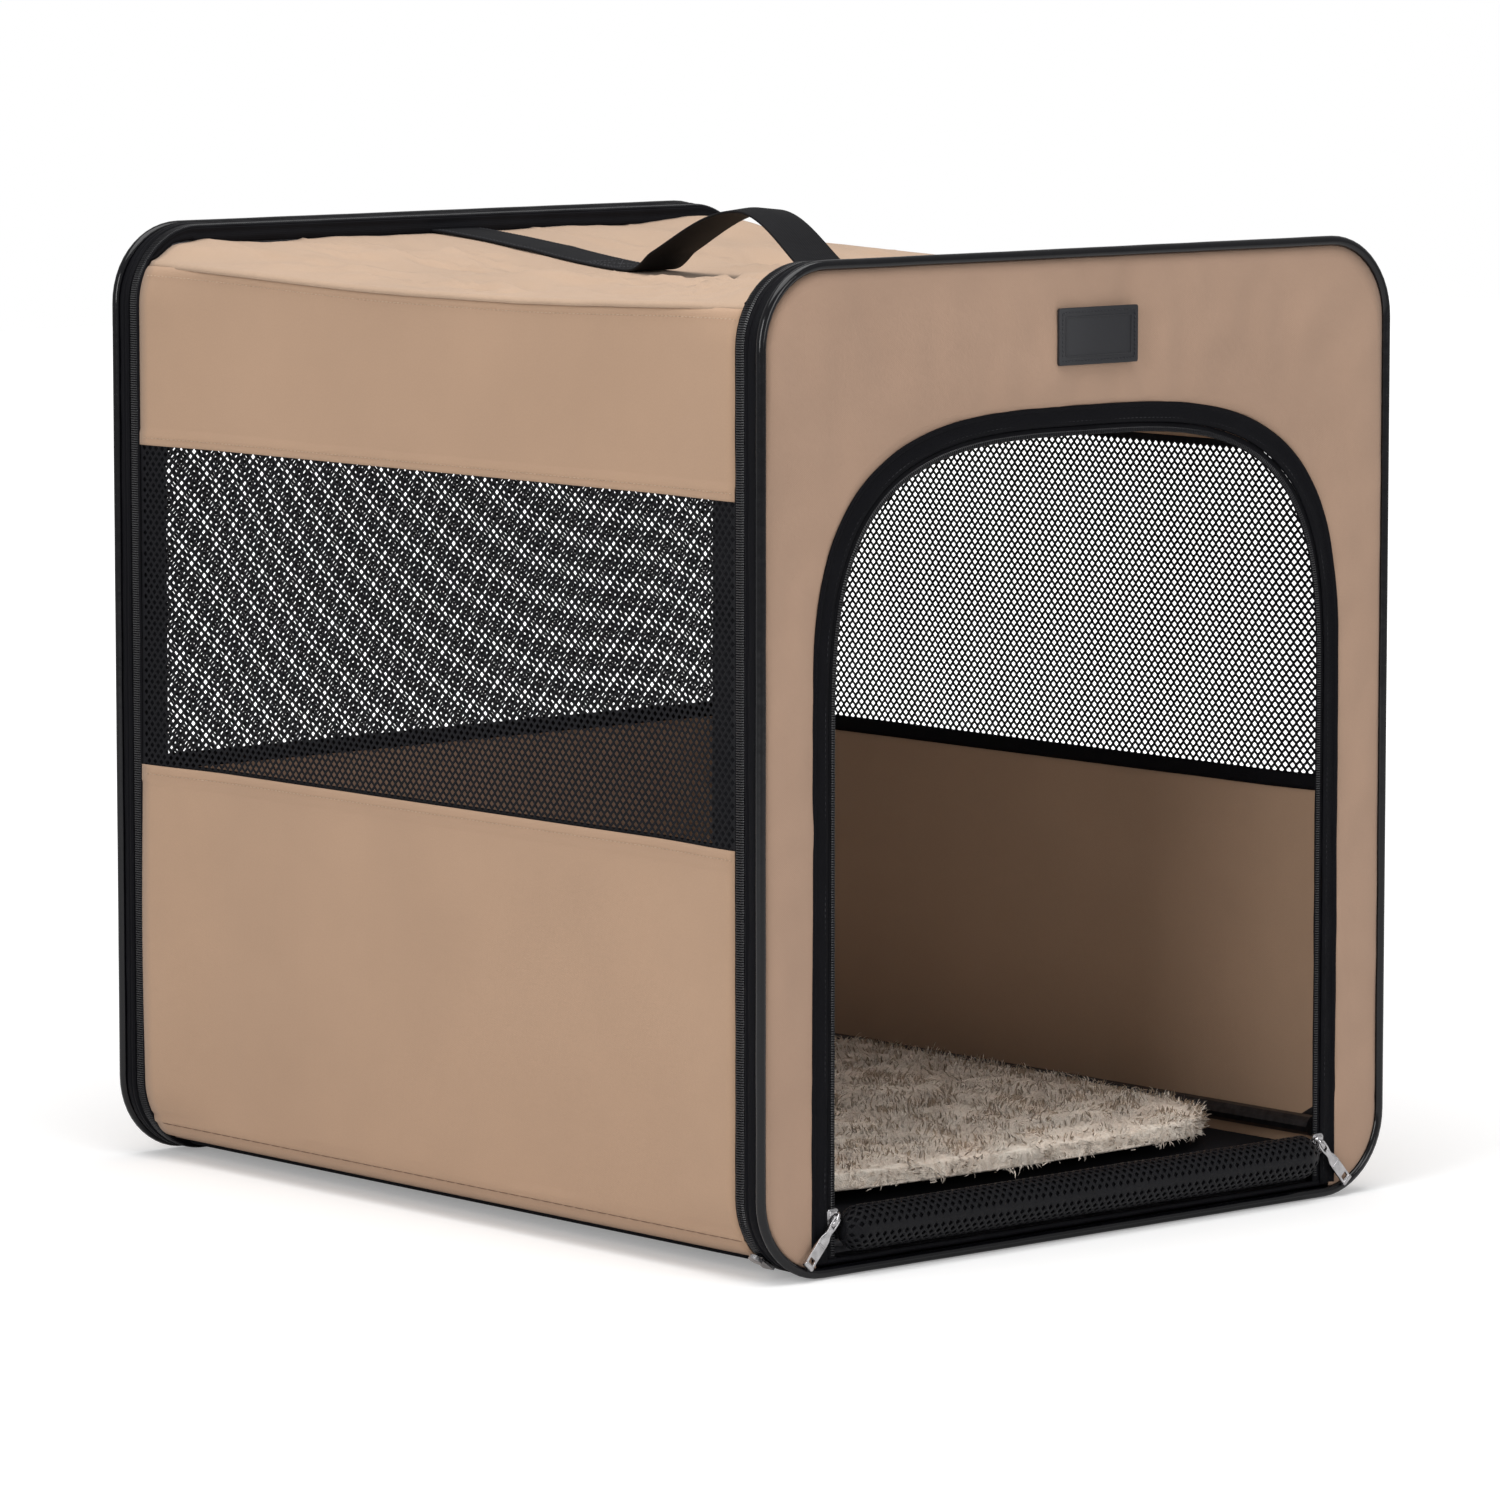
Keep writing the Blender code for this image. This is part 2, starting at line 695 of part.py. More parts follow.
def build_handle():
    """Webbing sewn along the top, with a carrying loop in the middle."""
    base = wall_top + touch_gap
    middle = (loop_rear - loop_front) / 2
    reach = (loop_rear + loop_front) / 2
    line = [(-cloth_end, base)]
    for n in range(loop_steps + 1):
        along = 2 * n / loop_steps - 1
        lift = (0.5 + 0.5 * math.cos(math.pi * along)) ** loop_fullness
        line.append((middle + reach * along, base + loop_rise * lift))
    line.append((cloth_end, base))
    upper = []
    for n, (y, z) in enumerate(line):
        before, after = line[max(n - 1, 0)], line[min(n + 1, len(line) - 1)]
        run = Vector((after[0] - before[0], after[1] - before[1])).normalized()
        upper.append((y - run.y * strap_thickness, z + run.x * strap_thickness))
    strap = plate("handle_strap", [line + upper[::-1]], strap_width)
    strap.rotation_euler = (math.pi / 2, 0, math.pi / 2)
    keep(strap, "top", BLACK, 0.8)


def build_label():
    half = Half("front", "upper")
    middle = label_z - knee_height
    low, high = middle - label_height / 2, middle + label_height / 2
    left, right = label_x - label_width / 2, label_x + label_width / 2
    loop = [(left, low), (right, low), (right, high), (left, high)]
    back = panel_front + touch_gap
    keep(half.flat("label_patch", [loop], back + label_thickness, back), half.body, BLACK, 0.7)


def slider_shape(name, slot_from, slot_to, front, back, turn):
    """A slider in its own space: X across, Y out of the zip (outwards is minus), Z along the teeth.

    Its lug and pin are turned towards where the pull hangs.
    """
    reach = slider_width / 2
    body = box(name, (-reach, -front, -slider_length / 2), (reach, -back, slider_length / 2))
    root = -front + slider_wall / 2
    lug = box(name + "_lug", (-lug_half, -front - lug_reach, -lug_reach), (lug_half, root, lug_reach))
    axle = -front - lug_reach + pull_pin_diameter
    pin_reach = lug_half + touch_gap + prong_width
    pin = cylinder(name + "_pin", (-pin_reach, axle, 0), (pin_reach, axle, 0), pull_pin_diameter / 2, 10)
    lug.rotation_euler.y += turn
    pin.rotation_euler.y += turn
    slot_low = (slot_from, -front + slider_wall, -slider_length)
    slot = box(name + "_slot", slot_low, (slot_to, -back - slider_wall, slider_length))
    body = solid(combine(body, [lug, pin], "UNION"))
    return solid(combine(body, [slot], "DIFFERENCE")), axle


def pull_shape(name, axle):
    """A pull tab that hangs from a slider's pin: two prongs, then a plain tab."""
    inner = lug_half + touch_gap
    outer = inner + prong_width
    wide = pull_width / 2
    head = pull_pin_diameter
    shoulder = -lug_reach - head
    tab = [(-outer, head), (-inner, head), (-inner, shoulder)]
    tab += [(inner, shoulder), (inner, head), (outer, head)]
    tab += [(outer, shoulder), (wide, shoulder - head)]
    tab += arc((0, wide - pull_length), wide, 0, -180, 6)
    tab += [(-wide, shoulder - head), (-outer, shoulder)]
    obj = plate(name, [tab], 2 * head)
    obj.rotation_euler = (math.pi / 2, 0, 0)
    obj.location = (0, axle, 0)
    obj = solid(obj)
    hole = pull_pin_diameter / 2 + touch_gap
    bore = cylinder(name + "_bore", (-2 * outer, axle, 0), (2 * outer, axle, 0), hole, 10)
    thin = box(
        name + "_thin",
        (-pull_width, axle + pull_thickness / 2, -pull_length - overrun),
        (pull_width, axle + 2 * head, shoulder - head),
    )
    combine(obj, [bore, thin], "DIFFERENCE")
    return solid(obj)


def place(obj, origin, location, turn):
    """Puts a finished small piece at its spot, turned about Y, with its origin where said."""
    obj.data.transform(Matrix.Translation(-Vector(origin)) @ obj.matrix_world)
    turned = Matrix.Rotation(turn, 4, "Y") @ Matrix.Translation(origin)
    obj.matrix_world = Matrix.Translation(location) @ turned


def build_sliders():
    """Door sliders with their pulls, and the slider on the front cover's own zip."""
    front = binding_front + touch_gap + slider_wall
    back = binding_front - chain_thickness - touch_gap - slider_wall
    for side, sign in (("left", -1), ("right", 1)):
        name = f"door_slider_{side}"
        edge = chain_width / 2 + touch_gap
        slot = sorted((-sign * edge, sign * slider_width))
        turn = -sign * math.radians(pull_turn)
        slider, axle = slider_shape(name, slot[0], slot[1], front, back, turn)
        spot = (sign * chain_middle, 0, door_slider_height)
        place(slider, (0, 0, 0), spot, 0)
        keep(slider, f"door_slider_{side}", STEEL, 0.3, 1.0)
        pull = pull_shape(f"door_pull_{side}", axle)
        place(pull, (0, axle, 0), spot, turn)
        keep(pull, f"door_pull_{side}", STEEL, 0.3, 1.0)
        hang(pull, slider)

    turn = math.radians(gusset_slider_angle)
    ring = corner_radius - gusset_inset + zip_proud
    seat = ring + touch_gap
    wide = slider_width / 2
    end = slider_length / 2
    body = box("cover_slider", (-end, -wide, seat), (end, wide, seat + slider_wall))
    disc_start = (end, 0, seat + slider_wall / 2)
    disc_stop = (end, 0, seat + 2 * slider_wall)
    disc = cylinder("cover_pull", disc_start, disc_stop, gusset_pull_diameter / 2, 16)
    body = solid(combine(body, [disc], "UNION"))
    spot = (-(half_width - corner_radius), -(zip_front - zip_depth / 2), sole_gap + corner_radius)
    place(body, (0, 0, 0), spot, -(math.pi / 2 + turn))
    keep(body, "cover_slider", STEEL, 0.3, 1.0)


def hang(obj, parent):
    """Makes one object follow another from where both stand."""
    bpy.context.view_layer.update()
    obj.parent = parent
    obj.matrix_parent_inverse = parent.matrix_world.inverted()


def pivot(body, out, z, carrier):
    """An empty on a hinge's axis, which carries every piece of one moving body."""
    empty = bpy.data.objects.new(f"{body}_pivot", None)
    crate.objects.link(empty)
    empty.location = (0, out, z)
    if carrier:
        hang(empty, carrier)
    for piece in bodies[body]:
        hang(piece, empty)
    return empty


def build_pivots():
    """Front and rear ends turn on the base rails, fold at the knee, and carry the top rails."""
    for end, side in (("front", -1), ("rear", 1)):
        lower = pivot(f"{end}_lower", side * tube_depth, base_hinge_height, None)
        upper = pivot(f"{end}_upper", side * knee_depth, knee_height, lower)
        if end == "front":
            pivot("top", side * tube_depth, top_hinge_height, upper)
            for name in ("door_slider_left", "door_slider_right", "cover_slider"):
                hang(bodies[name][0], lower)


sides = (("left", -1), ("right", 1))
for end in ("front", "rear"):
    for half in (Half(end, "lower"), Half(end, "upper")):
        build_cover(half)
        build_frame(half)
        for side, sign in sides:
            build_elbow(half, side, sign)
    for side, sign in sides:
        build_knee_pin(Half(end, "lower"), side, sign)
for side, sign in sides:
    build_rail("base", base_hinge_height, base_rail_height, side, sign)
    build_rail("top", top_hinge_height, top_rail_height, side, sign)
build_front_panels()
build_doorway()
build_roll()
build_rear_panels()
build_walls()
build_top()
build_floor()
build_handle()
build_label()
build_sliders()
build_pivots()
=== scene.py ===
"""Looks of the soft folding dog crate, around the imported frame."""
import json
import math

import bmesh
import bpy
import numpy as np
from mathutils import Matrix, Vector, noise


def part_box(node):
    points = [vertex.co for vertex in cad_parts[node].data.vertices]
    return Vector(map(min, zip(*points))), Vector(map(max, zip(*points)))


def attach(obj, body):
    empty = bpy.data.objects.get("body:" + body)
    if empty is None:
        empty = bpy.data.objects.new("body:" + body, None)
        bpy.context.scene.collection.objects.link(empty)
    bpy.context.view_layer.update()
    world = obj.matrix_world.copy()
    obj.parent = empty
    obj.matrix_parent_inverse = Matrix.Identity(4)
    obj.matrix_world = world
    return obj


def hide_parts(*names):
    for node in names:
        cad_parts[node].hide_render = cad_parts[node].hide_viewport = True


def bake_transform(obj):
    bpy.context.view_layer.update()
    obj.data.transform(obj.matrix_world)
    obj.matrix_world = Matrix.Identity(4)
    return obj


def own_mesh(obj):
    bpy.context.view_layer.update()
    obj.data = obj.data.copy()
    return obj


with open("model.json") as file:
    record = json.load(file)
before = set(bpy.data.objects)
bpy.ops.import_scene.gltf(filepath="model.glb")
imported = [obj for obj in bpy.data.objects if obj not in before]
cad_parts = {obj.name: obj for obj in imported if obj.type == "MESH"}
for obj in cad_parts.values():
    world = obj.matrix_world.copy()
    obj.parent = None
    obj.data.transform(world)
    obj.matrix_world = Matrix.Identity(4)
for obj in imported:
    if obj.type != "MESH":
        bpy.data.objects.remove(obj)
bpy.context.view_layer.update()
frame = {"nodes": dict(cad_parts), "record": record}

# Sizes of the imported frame, in metres
HALF_WIDTH = 0.254
SOLE = 0.0005
HEIGHT = 0.584
CORNER = 0.050
COVER_FACE = 0.302
COVER_MIDDLE = 0.302
PIPING_RADIUS = 0.003
CLOTH_END = 0.2795
WALL = 0.246
WALL_TOP = 0.555
WALL_BOTTOM = 0.0290
WALL_CURL = 0.018
WINDOW_BOTTOM = 0.249
WINDOW_TOP = 0.448
DOOR_HALF = 0.212
DOOR_SHOULDER = 0.303
DOOR_TOP = 0.492
DOOR_ROUND = 3.3
DOOR_SILL = 0.0091
BINDING = 0.012
STRAP_WIDTH = 0.038
LOOP_FRONT = -0.090
LOOP_REAR = 0.097
LOOP_CREST = -0.012
LOOP_RISE = 0.0380
PAD_REACH = 0.2203
PAD_TOP = 0.028
PAD_UNDER = 0.0062
SLIDER_X = 0.19745
SLIDER_Z = 0.034
SLIDER_AXLE = 0.30675
PULL_TURN = 42
PULL_LENGTH = 0.0335
CLOTH_THICKNESS = 0.0008
COIL_PITCH = 0.00145
COVER_SEAM = 0.0053
EDGING_WIDTH = 0.0215
BLADES = 60000

# The net's cell: distance along a row, and between rows, which are staggered
NET_STEP = 0.0057
NET_ROW = 0.0033
REAR_NET_STEP = 0.0056
REAR_NET_ROW = 0.0033
NET_HOLE = 0.585
NET_RIDGE = 0.0003

# The photo's camera: metres, degrees and the lens in millimetres
CAMERA_PLACE = (-3.128, -3.5733, 0.8216)
CAMERA_PITCH = 6.71
CAMERA_AZIMUTH = 41.25
CAMERA_LENS = 186.4

TAN = (0.440, 0.288, 0.192)
# The end covers' tan: the sides' cloth painted darker, as painted shade on the ends
TAN_COVER_PAINTED_SHADE = (0.402, 0.265, 0.188)
BLACK = (0.0075, 0.0075, 0.0095)


def nodes_of(name):
    made = bpy.data.materials.new(name)
    made.use_nodes = True
    tree = made.node_tree
    return made, tree, tree.nodes["Principled BSDF"]


def settle(node, **inputs):
    """Sets a node's inputs by name, where an underscore stands for a space."""
    for key, value in inputs.items():
        node.inputs[key.replace("_", " ")].default_value = value
    return node


def add(tree, kind, **inputs):
    return settle(tree.nodes.new(kind), **inputs)


def maths(tree, operation, a, b=0.0):
    node = tree.nodes.new("ShaderNodeMath")
    node.operation = operation
    for socket, value in ((node.inputs[0], a), (node.inputs[1], b)):
        if isinstance(value, (int, float)):
            socket.default_value = value
        else:
            tree.links.new(value, socket)
    return node.outputs[0]


def weighted(tree, first, *others):
    """The sum of (value, weight) pairs."""
    value = maths(tree, "MULTIPLY", *first)
    return maths(tree, "ADD", value, weighted(tree, *others)) if others else value


def sine_size(tree, value, rate):
    """The size of a sine, which falls to zero between threads or cords."""
    return maths(tree, "ABSOLUTE", maths(tree, "SINE", maths(tree, "MULTIPLY", value, rate)))


def metres(tree, scale):
    """The UV map in metres, scaled, as a vector output."""
    uv = tree.nodes.new("ShaderNodeUVMap")
    uv.uv_map = "metres"
    mapping = add(tree, "ShaderNodeMapping", Scale=(scale, scale, scale))
    tree.links.new(uv.outputs["UV"], mapping.inputs["Vector"])
    return mapping.outputs["Vector"]


def objects(tree, scale):
    """The object's own coordinates, scaled."""
    where = tree.nodes.new("ShaderNodeTexCoord")
    mapping = add(tree, "ShaderNodeMapping", Scale=(scale, scale, scale))
    tree.links.new(where.outputs["Object"], mapping.inputs["Vector"])
    return mapping.outputs["Vector"]


def noise_value(tree, vector, scale, detail=3.0):
    node = add(tree, "ShaderNodeTexNoise", Scale=scale, Detail=detail)
    tree.links.new(vector, node.inputs["Vector"])
    return node.outputs["Fac"]


def ramp(tree, value, low, high, start, stop):
    """A colour between two, as a value goes from start to stop."""
    node = tree.nodes.new("ShaderNodeValToRGB")
    node.color_ramp.elements[0].color = (*low, 1.0)
    node.color_ramp.elements[1].color = (*high, 1.0)
    node.color_ramp.elements[0].position = start
    node.color_ramp.elements[1].position = stop
    tree.links.new(value, node.inputs["Fac"])
    return node.outputs["Color"]


def paint(tree, shader, value, low, high, start, stop):
    tree.links.new(ramp(tree, value, low, high, start, stop), shader.inputs["Base Color"])


def rough_between(tree, shader, value, low, high):
    """Roughness that follows a value from 0 to 1."""
    level = add(tree, "ShaderNodeMapRange", To_Min=low, To_Max=high)
    tree.links.new(value, level.inputs["Value"])
    tree.links.new(level.outputs["Result"], shader.inputs["Roughness"])


def bump(tree, shader, height, distance, strength=1.0, under=None):
    node = add(tree, "ShaderNodeBump", Strength=strength, Distance=distance)
    tree.links.new(height, node.inputs["Height"])
    if under is not None:
        tree.links.new(under, node.inputs["Normal"])
    tree.links.new(node.outputs["Normal"], shader.inputs["Normal"])
    return node.outputs["Normal"]


def weave(tree, vector):
    """Plain weave, one thread for each unit: threads over and under by turns."""
    split = tree.nodes.new("ShaderNodeSeparateXYZ")
    tree.links.new(vector, split.inputs["Vector"])
    x, y = split.outputs["X"], split.outputs["Y"]
    over = maths(tree, "MULTIPLY", maths(tree, "SINE", maths(tree, "MULTIPLY", x, math.pi)),
                 maths(tree, "SINE", maths(tree, "MULTIPLY", y, math.pi)))
    both = maths(tree, "ADD", sine_size(tree, x, math.pi), sine_size(tree, y, math.pi))
    threads = maths(tree, "MULTIPLY", both, 0.5)
    return maths(tree, "ADD", threads, maths(tree, "MULTIPLY", over, 0.35))


def cloth(name, colour, thread, roughness, spread=0.06, sheen=0.0, gloss=0.25):
    """A plain woven cloth: thread is the weave's pitch, spread how far the colour varies."""
    made, tree, shader = nodes_of(name)
    threads = weave(tree, metres(tree, 1 / thread))
    broad = noise_value(tree, objects(tree, 1.0), 9.0, 4.0)
    fine = noise_value(tree, metres(tree, 1.0), 900.0, 2.0)
    # Colour: broad and fine noise are tone that varies at random; the weave's relief adds painted shade
    # between threads
    painted_weave_shade_and_tone = weighted(tree, (broad, 0.55), (fine, 0.30), (threads, 0.15))
    low = [c * (1 - spread - 0.05) for c in colour]
    high = [min(c * (1 + spread), 1.0) for c in colour]
    paint(tree, shader, painted_weave_shade_and_tone, low, high, 0.25, 0.75)
    settle(shader, Roughness=roughness, Sheen_Weight=sheen, Sheen_Roughness=0.5, Specular_IOR_Level=gloss)
    rumple = bump(tree, shader, noise_value(tree, objects(tree, 1.0), 28.0, 3.0), 0.0012, 0.5)
    bump(tree, shader, threads, 0.00012, 0.8, rumple)
    return made


def webbing(name, colour, pitch, roughness, gloss):
    """Ribbed tape: cords along it, crossed by a fine weft."""
    made, tree, shader = nodes_of(name)
    split = tree.nodes.new("ShaderNodeSeparateXYZ")
    tree.links.new(metres(tree, 1 / pitch), split.inputs["Vector"])
    ribs = sine_size(tree, split.outputs["X"], math.pi)
    picks = sine_size(tree, split.outputs["Y"], math.pi * 1.6)
    height = weighted(tree, (ribs, 0.45), (picks, 0.55))
    # Colour follows the ribs' relief, lighter on the cords and darker between them: painted shade; the noise
    # is tone that varies at random
    painted_rib_shade_and_tone = weighted(tree, (height, 0.6), (noise_value(tree, objects(tree, 1.0), 60.0), 0.4))
    paint(tree, shader, painted_rib_shade_and_tone, [c * 0.7 for c in colour], [c * 1.5 for c in colour], 0.2, 0.9)
    settle(shader, Roughness=roughness, Specular_IOR_Level=gloss)
    bump(tree, shader, height, 0.00025, 0.8)
    return made


def vinyl(name, colour, roughness):
    """Smooth piping: glossy, with faint ripples and scuffs."""
    made, tree, shader = nodes_of(name)
    scuffs = noise_value(tree, objects(tree, 1.0), 160.0, 4.0)
    paint(tree, shader, scuffs, [c * 0.85 for c in colour], [c * 1.25 for c in colour], 0.35, 0.7)
    rough_between(tree, shader, scuffs, roughness - 0.05, roughness + 0.12)
    settle(shader, Specular_IOR_Level=0.36)
    bump(tree, shader, noise_value(tree, objects(tree, 1.0), 120.0, 2.0), 0.0004, 0.35)
    return made


def metal(name, colour, roughness):
    made, tree, shader = nodes_of(name)
    wear = noise_value(tree, objects(tree, 1.0), 240.0, 4.0)
    paint(tree, shader, wear, [c * 0.8 for c in colour], [min(c * 1.2, 1.0) for c in colour], 0.3, 0.7)
    rough_between(tree, shader, wear, roughness - 0.06, roughness + 0.12)
    settle(shader, Metallic=1.0)
    bump(tree, shader, noise_value(tree, objects(tree, 1.0), 900.0, 2.0), 0.0002, 0.2)
    return made


def moulded(name, colour, roughness):
    made, tree, shader = nodes_of(name)
    fine = noise_value(tree, objects(tree, 1.0), 1400.0, 2.0)
    paint(tree, shader, fine, [c * 0.8 for c in colour], [c * 1.2 for c in colour], 0.3, 0.7)
    settle(shader, Roughness=roughness)
    bump(tree, shader, fine, 0.00012, 0.5)
    return made


def plush(name, low, high):
    """Short curly pile: pale tufts and strands, darker between them where the bump is low: painted shade."""
    made, tree, shader = nodes_of(name)
    place = objects(tree, 1.0)
    curls = add(tree, "ShaderNodeTexVoronoi", Scale=210.0)
    curls.feature = "SMOOTH_F1"
    tree.links.new(place, curls.inputs["Vector"])
    tuft = maths(tree, "SUBTRACT", 1.0, curls.outputs["Distance"])
    strands = noise_value(tree, place, 1300.0, 3.0)
    broad = noise_value(tree, place, 26.0, 3.0)
    # The tuft and strand heights also colour the pile, darker in its hollows: painted shade; the broad noise
    # is tone that varies at random
    paint(tree, shader, weighted(tree, (broad, 0.5), (strands, 0.35), (tuft, 0.2)), low, high, 0.30, 0.70)
    settle(shader, Roughness=1.0, Sheen_Weight=1.0, Sheen_Tint=(1.0, 0.86, 0.74, 1.0), Sheen_Roughness=0.6,
           Specular_IOR_Level=0.1)
    first = bump(tree, shader, tuft, 0.003, 0.6)
    bump(tree, shader, strands, 0.0012, 0.7, first)
    return made


tan_side = cloth("tan_cloth_side", TAN, 0.00062, 0.82, sheen=0.08)
# The covers use the sides' tan painted darker: painted shade
tan_cover_painted_shade = cloth("tan_cloth_cover_painted_shade", TAN_COVER_PAINTED_SHADE, 0.00062, 0.82, sheen=0.08)
# The top: the sides' tan cloth painted lighter and paler, as painted light and painted sheen highlight from
# above
tan_top_painted_light = cloth("tan_cloth_top_painted_light", (0.456, 0.320, 0.226), 0.00062, 0.80, sheen=0.08)
black_cloth = cloth("black_lining_cloth", BLACK, 0.0006, 0.85, 0.15, gloss=0.10)
black_tape = webbing("black_zip_tape", (0.0050, 0.0050, 0.0064), 0.0011, 0.70, 0.08)
satin_tape = webbing("black_binding_tape", (0.0040, 0.0040, 0.0054), 0.0008, 0.42, 0.06)
net_thread = cloth("black_net_thread", BLACK, 0.0004, 0.55, 0.2, gloss=0.12)
roll_thread = cloth("black_roll_thread", (0.0050, 0.0050, 0.0066), 0.0004, 0.30, 0.2, gloss=0.14)
piping_vinyl = vinyl("black_piping_vinyl", (0.0030, 0.0030, 0.0042), 0.10)
coil_nylon = moulded("black_coil_nylon", BLACK, 0.26)
strap_web = webbing("black_strap_webbing", (0.0070, 0.0070, 0.0082), 0.0019, 0.72, 0.12)
gunmetal = metal("gunmetal_slider", (0.50, 0.49, 0.50), 0.20)
tube_paint = metal("dark_tube_steel", (0.10, 0.10, 0.11), 0.36)
elbow_nylon = moulded("black_elbow_nylon", (0.014, 0.014, 0.016), 0.45)
patch_leather = moulded("black_patch_leatherette", (0.0100, 0.0105, 0.0140), 0.50)
fleece = plush("cream_fleece", (0.97, 0.79, 0.65), (1.0, 0.93, 0.82))
tan_thread = moulded("tan_sewing_thread", (0.50, 0.37, 0.26), 0.7)
# Dark brown for the line along the hem's seam: painted shade of its groove
seam_painted_shade = moulded("tan_seam_shade", (0.20, 0.125, 0.080), 0.8)
black_thread = moulded("black_sewing_thread", (0.022, 0.022, 0.027), 0.6)


def linked(name, data):
    """A new object in the scene."""
    obj = bpy.data.objects.new(name, data)
    bpy.context.scene.collection.objects.link(obj)
    return obj


def piece(name, verts, faces, uvs, material, smooth=True):
    """A mesh object from arrays of points, faces and one UV for each point, in metres."""
    mesh = bpy.data.meshes.new(name)
    mesh.from_pydata([tuple(v) for v in verts], [], [tuple(f) for f in faces])
    layer = mesh.uv_layers.new(name="metres")
    loops = np.zeros(len(mesh.loops), np.int32)
    mesh.loops.foreach_get("vertex_index", loops)
    layer.data.foreach_set("uv", np.asarray(uvs, np.float32)[loops].ravel())
    mesh.polygons.foreach_set("use_smooth", [smooth] * len(mesh.polygons))
    mesh.materials.append(material)
    mesh.update()
    obj = linked(name, mesh)
    return obj


def bake(obj):
    """Applies every modifier, so that the mesh is final."""
    bpy.context.view_layer.update()
    graph = bpy.context.evaluated_depsgraph_get()
    mesh = bpy.data.meshes.new_from_object(obj.evaluated_get(graph))
    obj.modifiers.clear()
    obj.data = mesh
    return obj


def thicken(obj, thickness, offset=-1.0):
    step = obj.modifiers.new("thickness", "SOLIDIFY")
    step.thickness = thickness
    step.offset = offset
    step.use_even_offset = False
    return bake(obj)


def grid_faces(across, along, closed=False):
    """Quads of a grid of points stored row by row, each row holding across points."""
    faces = []
    for row in range(along if closed else along - 1):
        nxt = (row + 1) % along
        for n in range(across - 1):
            a, b = row * across + n, row * across + n + 1
            faces.append((a, b, nxt * across + n + 1, nxt * across + n))
    return faces


def tube_faces(wide, rows, capped=False):
    """Quads of a closed section of wide points swept over rows, with its ends closed where capped."""
    faces = []
    for row in range(rows - 1):
        for n in range(wide):
            m = (n + 1) % wide
            faces.append((row * wide + n, row * wide + m, (row + 1) * wide + m, (row + 1) * wide + n))
    if capped:
        faces.append(tuple(range(wide))[::-1])
        faces.append(tuple((rows - 1) * wide + n for n in range(wide)))
    return faces


def smoothstep(t):
    t = min(max(t, 0.0), 1.0)
    return t * t * (3 - 2 * t)


def smooth_noise(x, y, z, scale):
    return noise.noise(Vector((x * scale, y * scale, z * scale)))


def across_joint(obj):
    """Bakes a piece's placement into its mesh."""
    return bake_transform(obj)


def both_halves(name, end):
    return [name.format(end=end, half=half) for half in ("lower", "upper")]


def outline(step=0.006):
    """The end's closed round-cornered outline: points, outward directions and distance along it."""
    low, high = SOLE + CORNER, HEIGHT - CORNER
    inner = HALF_WIDTH - CORNER
    runs = []
    corners = ((inner, low, -90), (inner, high, 0), (-inner, high, 90), (-inner, low, 180))
    for n, (cx, cz, start) in enumerate(corners):
        turns = max(int(math.pi / 2 * CORNER / step), 8)
        for k in range(turns + 1):
            t = math.radians(start + 90 * k / turns)
            runs.append((cx + CORNER * math.cos(t), cz + CORNER * math.sin(t), math.cos(t), math.sin(t)))
        nx, nz, _ = corners[(n + 1) % 4]
        t = math.radians(start + 90)
        ax, az = cx + CORNER * math.cos(t), cz + CORNER * math.sin(t)
        bx, bz = nx + CORNER * math.cos(t), nz + CORNER * math.sin(t)
        pieces = max(int(math.hypot(bx - ax, bz - az) / step), 1)
        for k in range(1, pieces):
            s = k / pieces
            runs.append((ax + (bx - ax) * s, az + (bz - az) * s, math.cos(t), math.sin(t)))
    return runs


def ring(name, end, profile, material, wave):
    """Sweeps a section round the end. Its points are (distance inside the outline, y outwards)."""
    side = -1 if end == "front" else 1
    path = outline()
    verts, uvs = [], []
    lengths = [0.0]
    for a, b in zip(profile, profile[1:]):
        lengths.append(lengths[-1] + math.dist(a, b))
    travel, last = 0.0, None
    for x, z, dx, dz in path + path[:1]:
        if last is not None:
            travel += math.hypot(x - last[0], z - last[1])
        last = (x, z)
        for n in range(len(profile)):
            inset, out = profile[n]
            drift = wave * smooth_noise(x, out * 3, z, 38.0)
            verts.append((x - dx * (inset + drift), side * (out + drift * 0.6), z - dz * (inset + drift)))
            uvs.append((lengths[n], travel))
    quads = tube_faces(len(profile), len(path) + 1)
    faces = quads if side < 0 else [quad[::-1] for quad in quads]
    obj = piece(name, verts, faces, uvs, material)
    close_seam(obj)
    return obj


def edit_mesh(obj, *steps):
    """Runs steps, each a function of a bmesh, on an object's mesh."""
    shape = bmesh.new()
    shape.from_mesh(obj.data)
    for step in steps:
        step(shape)
    shape.to_mesh(obj.data)
    shape.free()


def close_seam(obj):
    edit_mesh(obj, lambda shape: bmesh.ops.remove_doubles(shape, verts=shape.verts, dist=0.00002),
              lambda shape: bmesh.ops.recalc_face_normals(shape, faces=shape.faces))


def circle_profile(inset, out, radius, sides):
    turns = [2 * math.pi * n / sides for n in range(sides)]
    return [(inset + radius * math.cos(turn), out + radius * math.sin(turn)) for turn in turns]


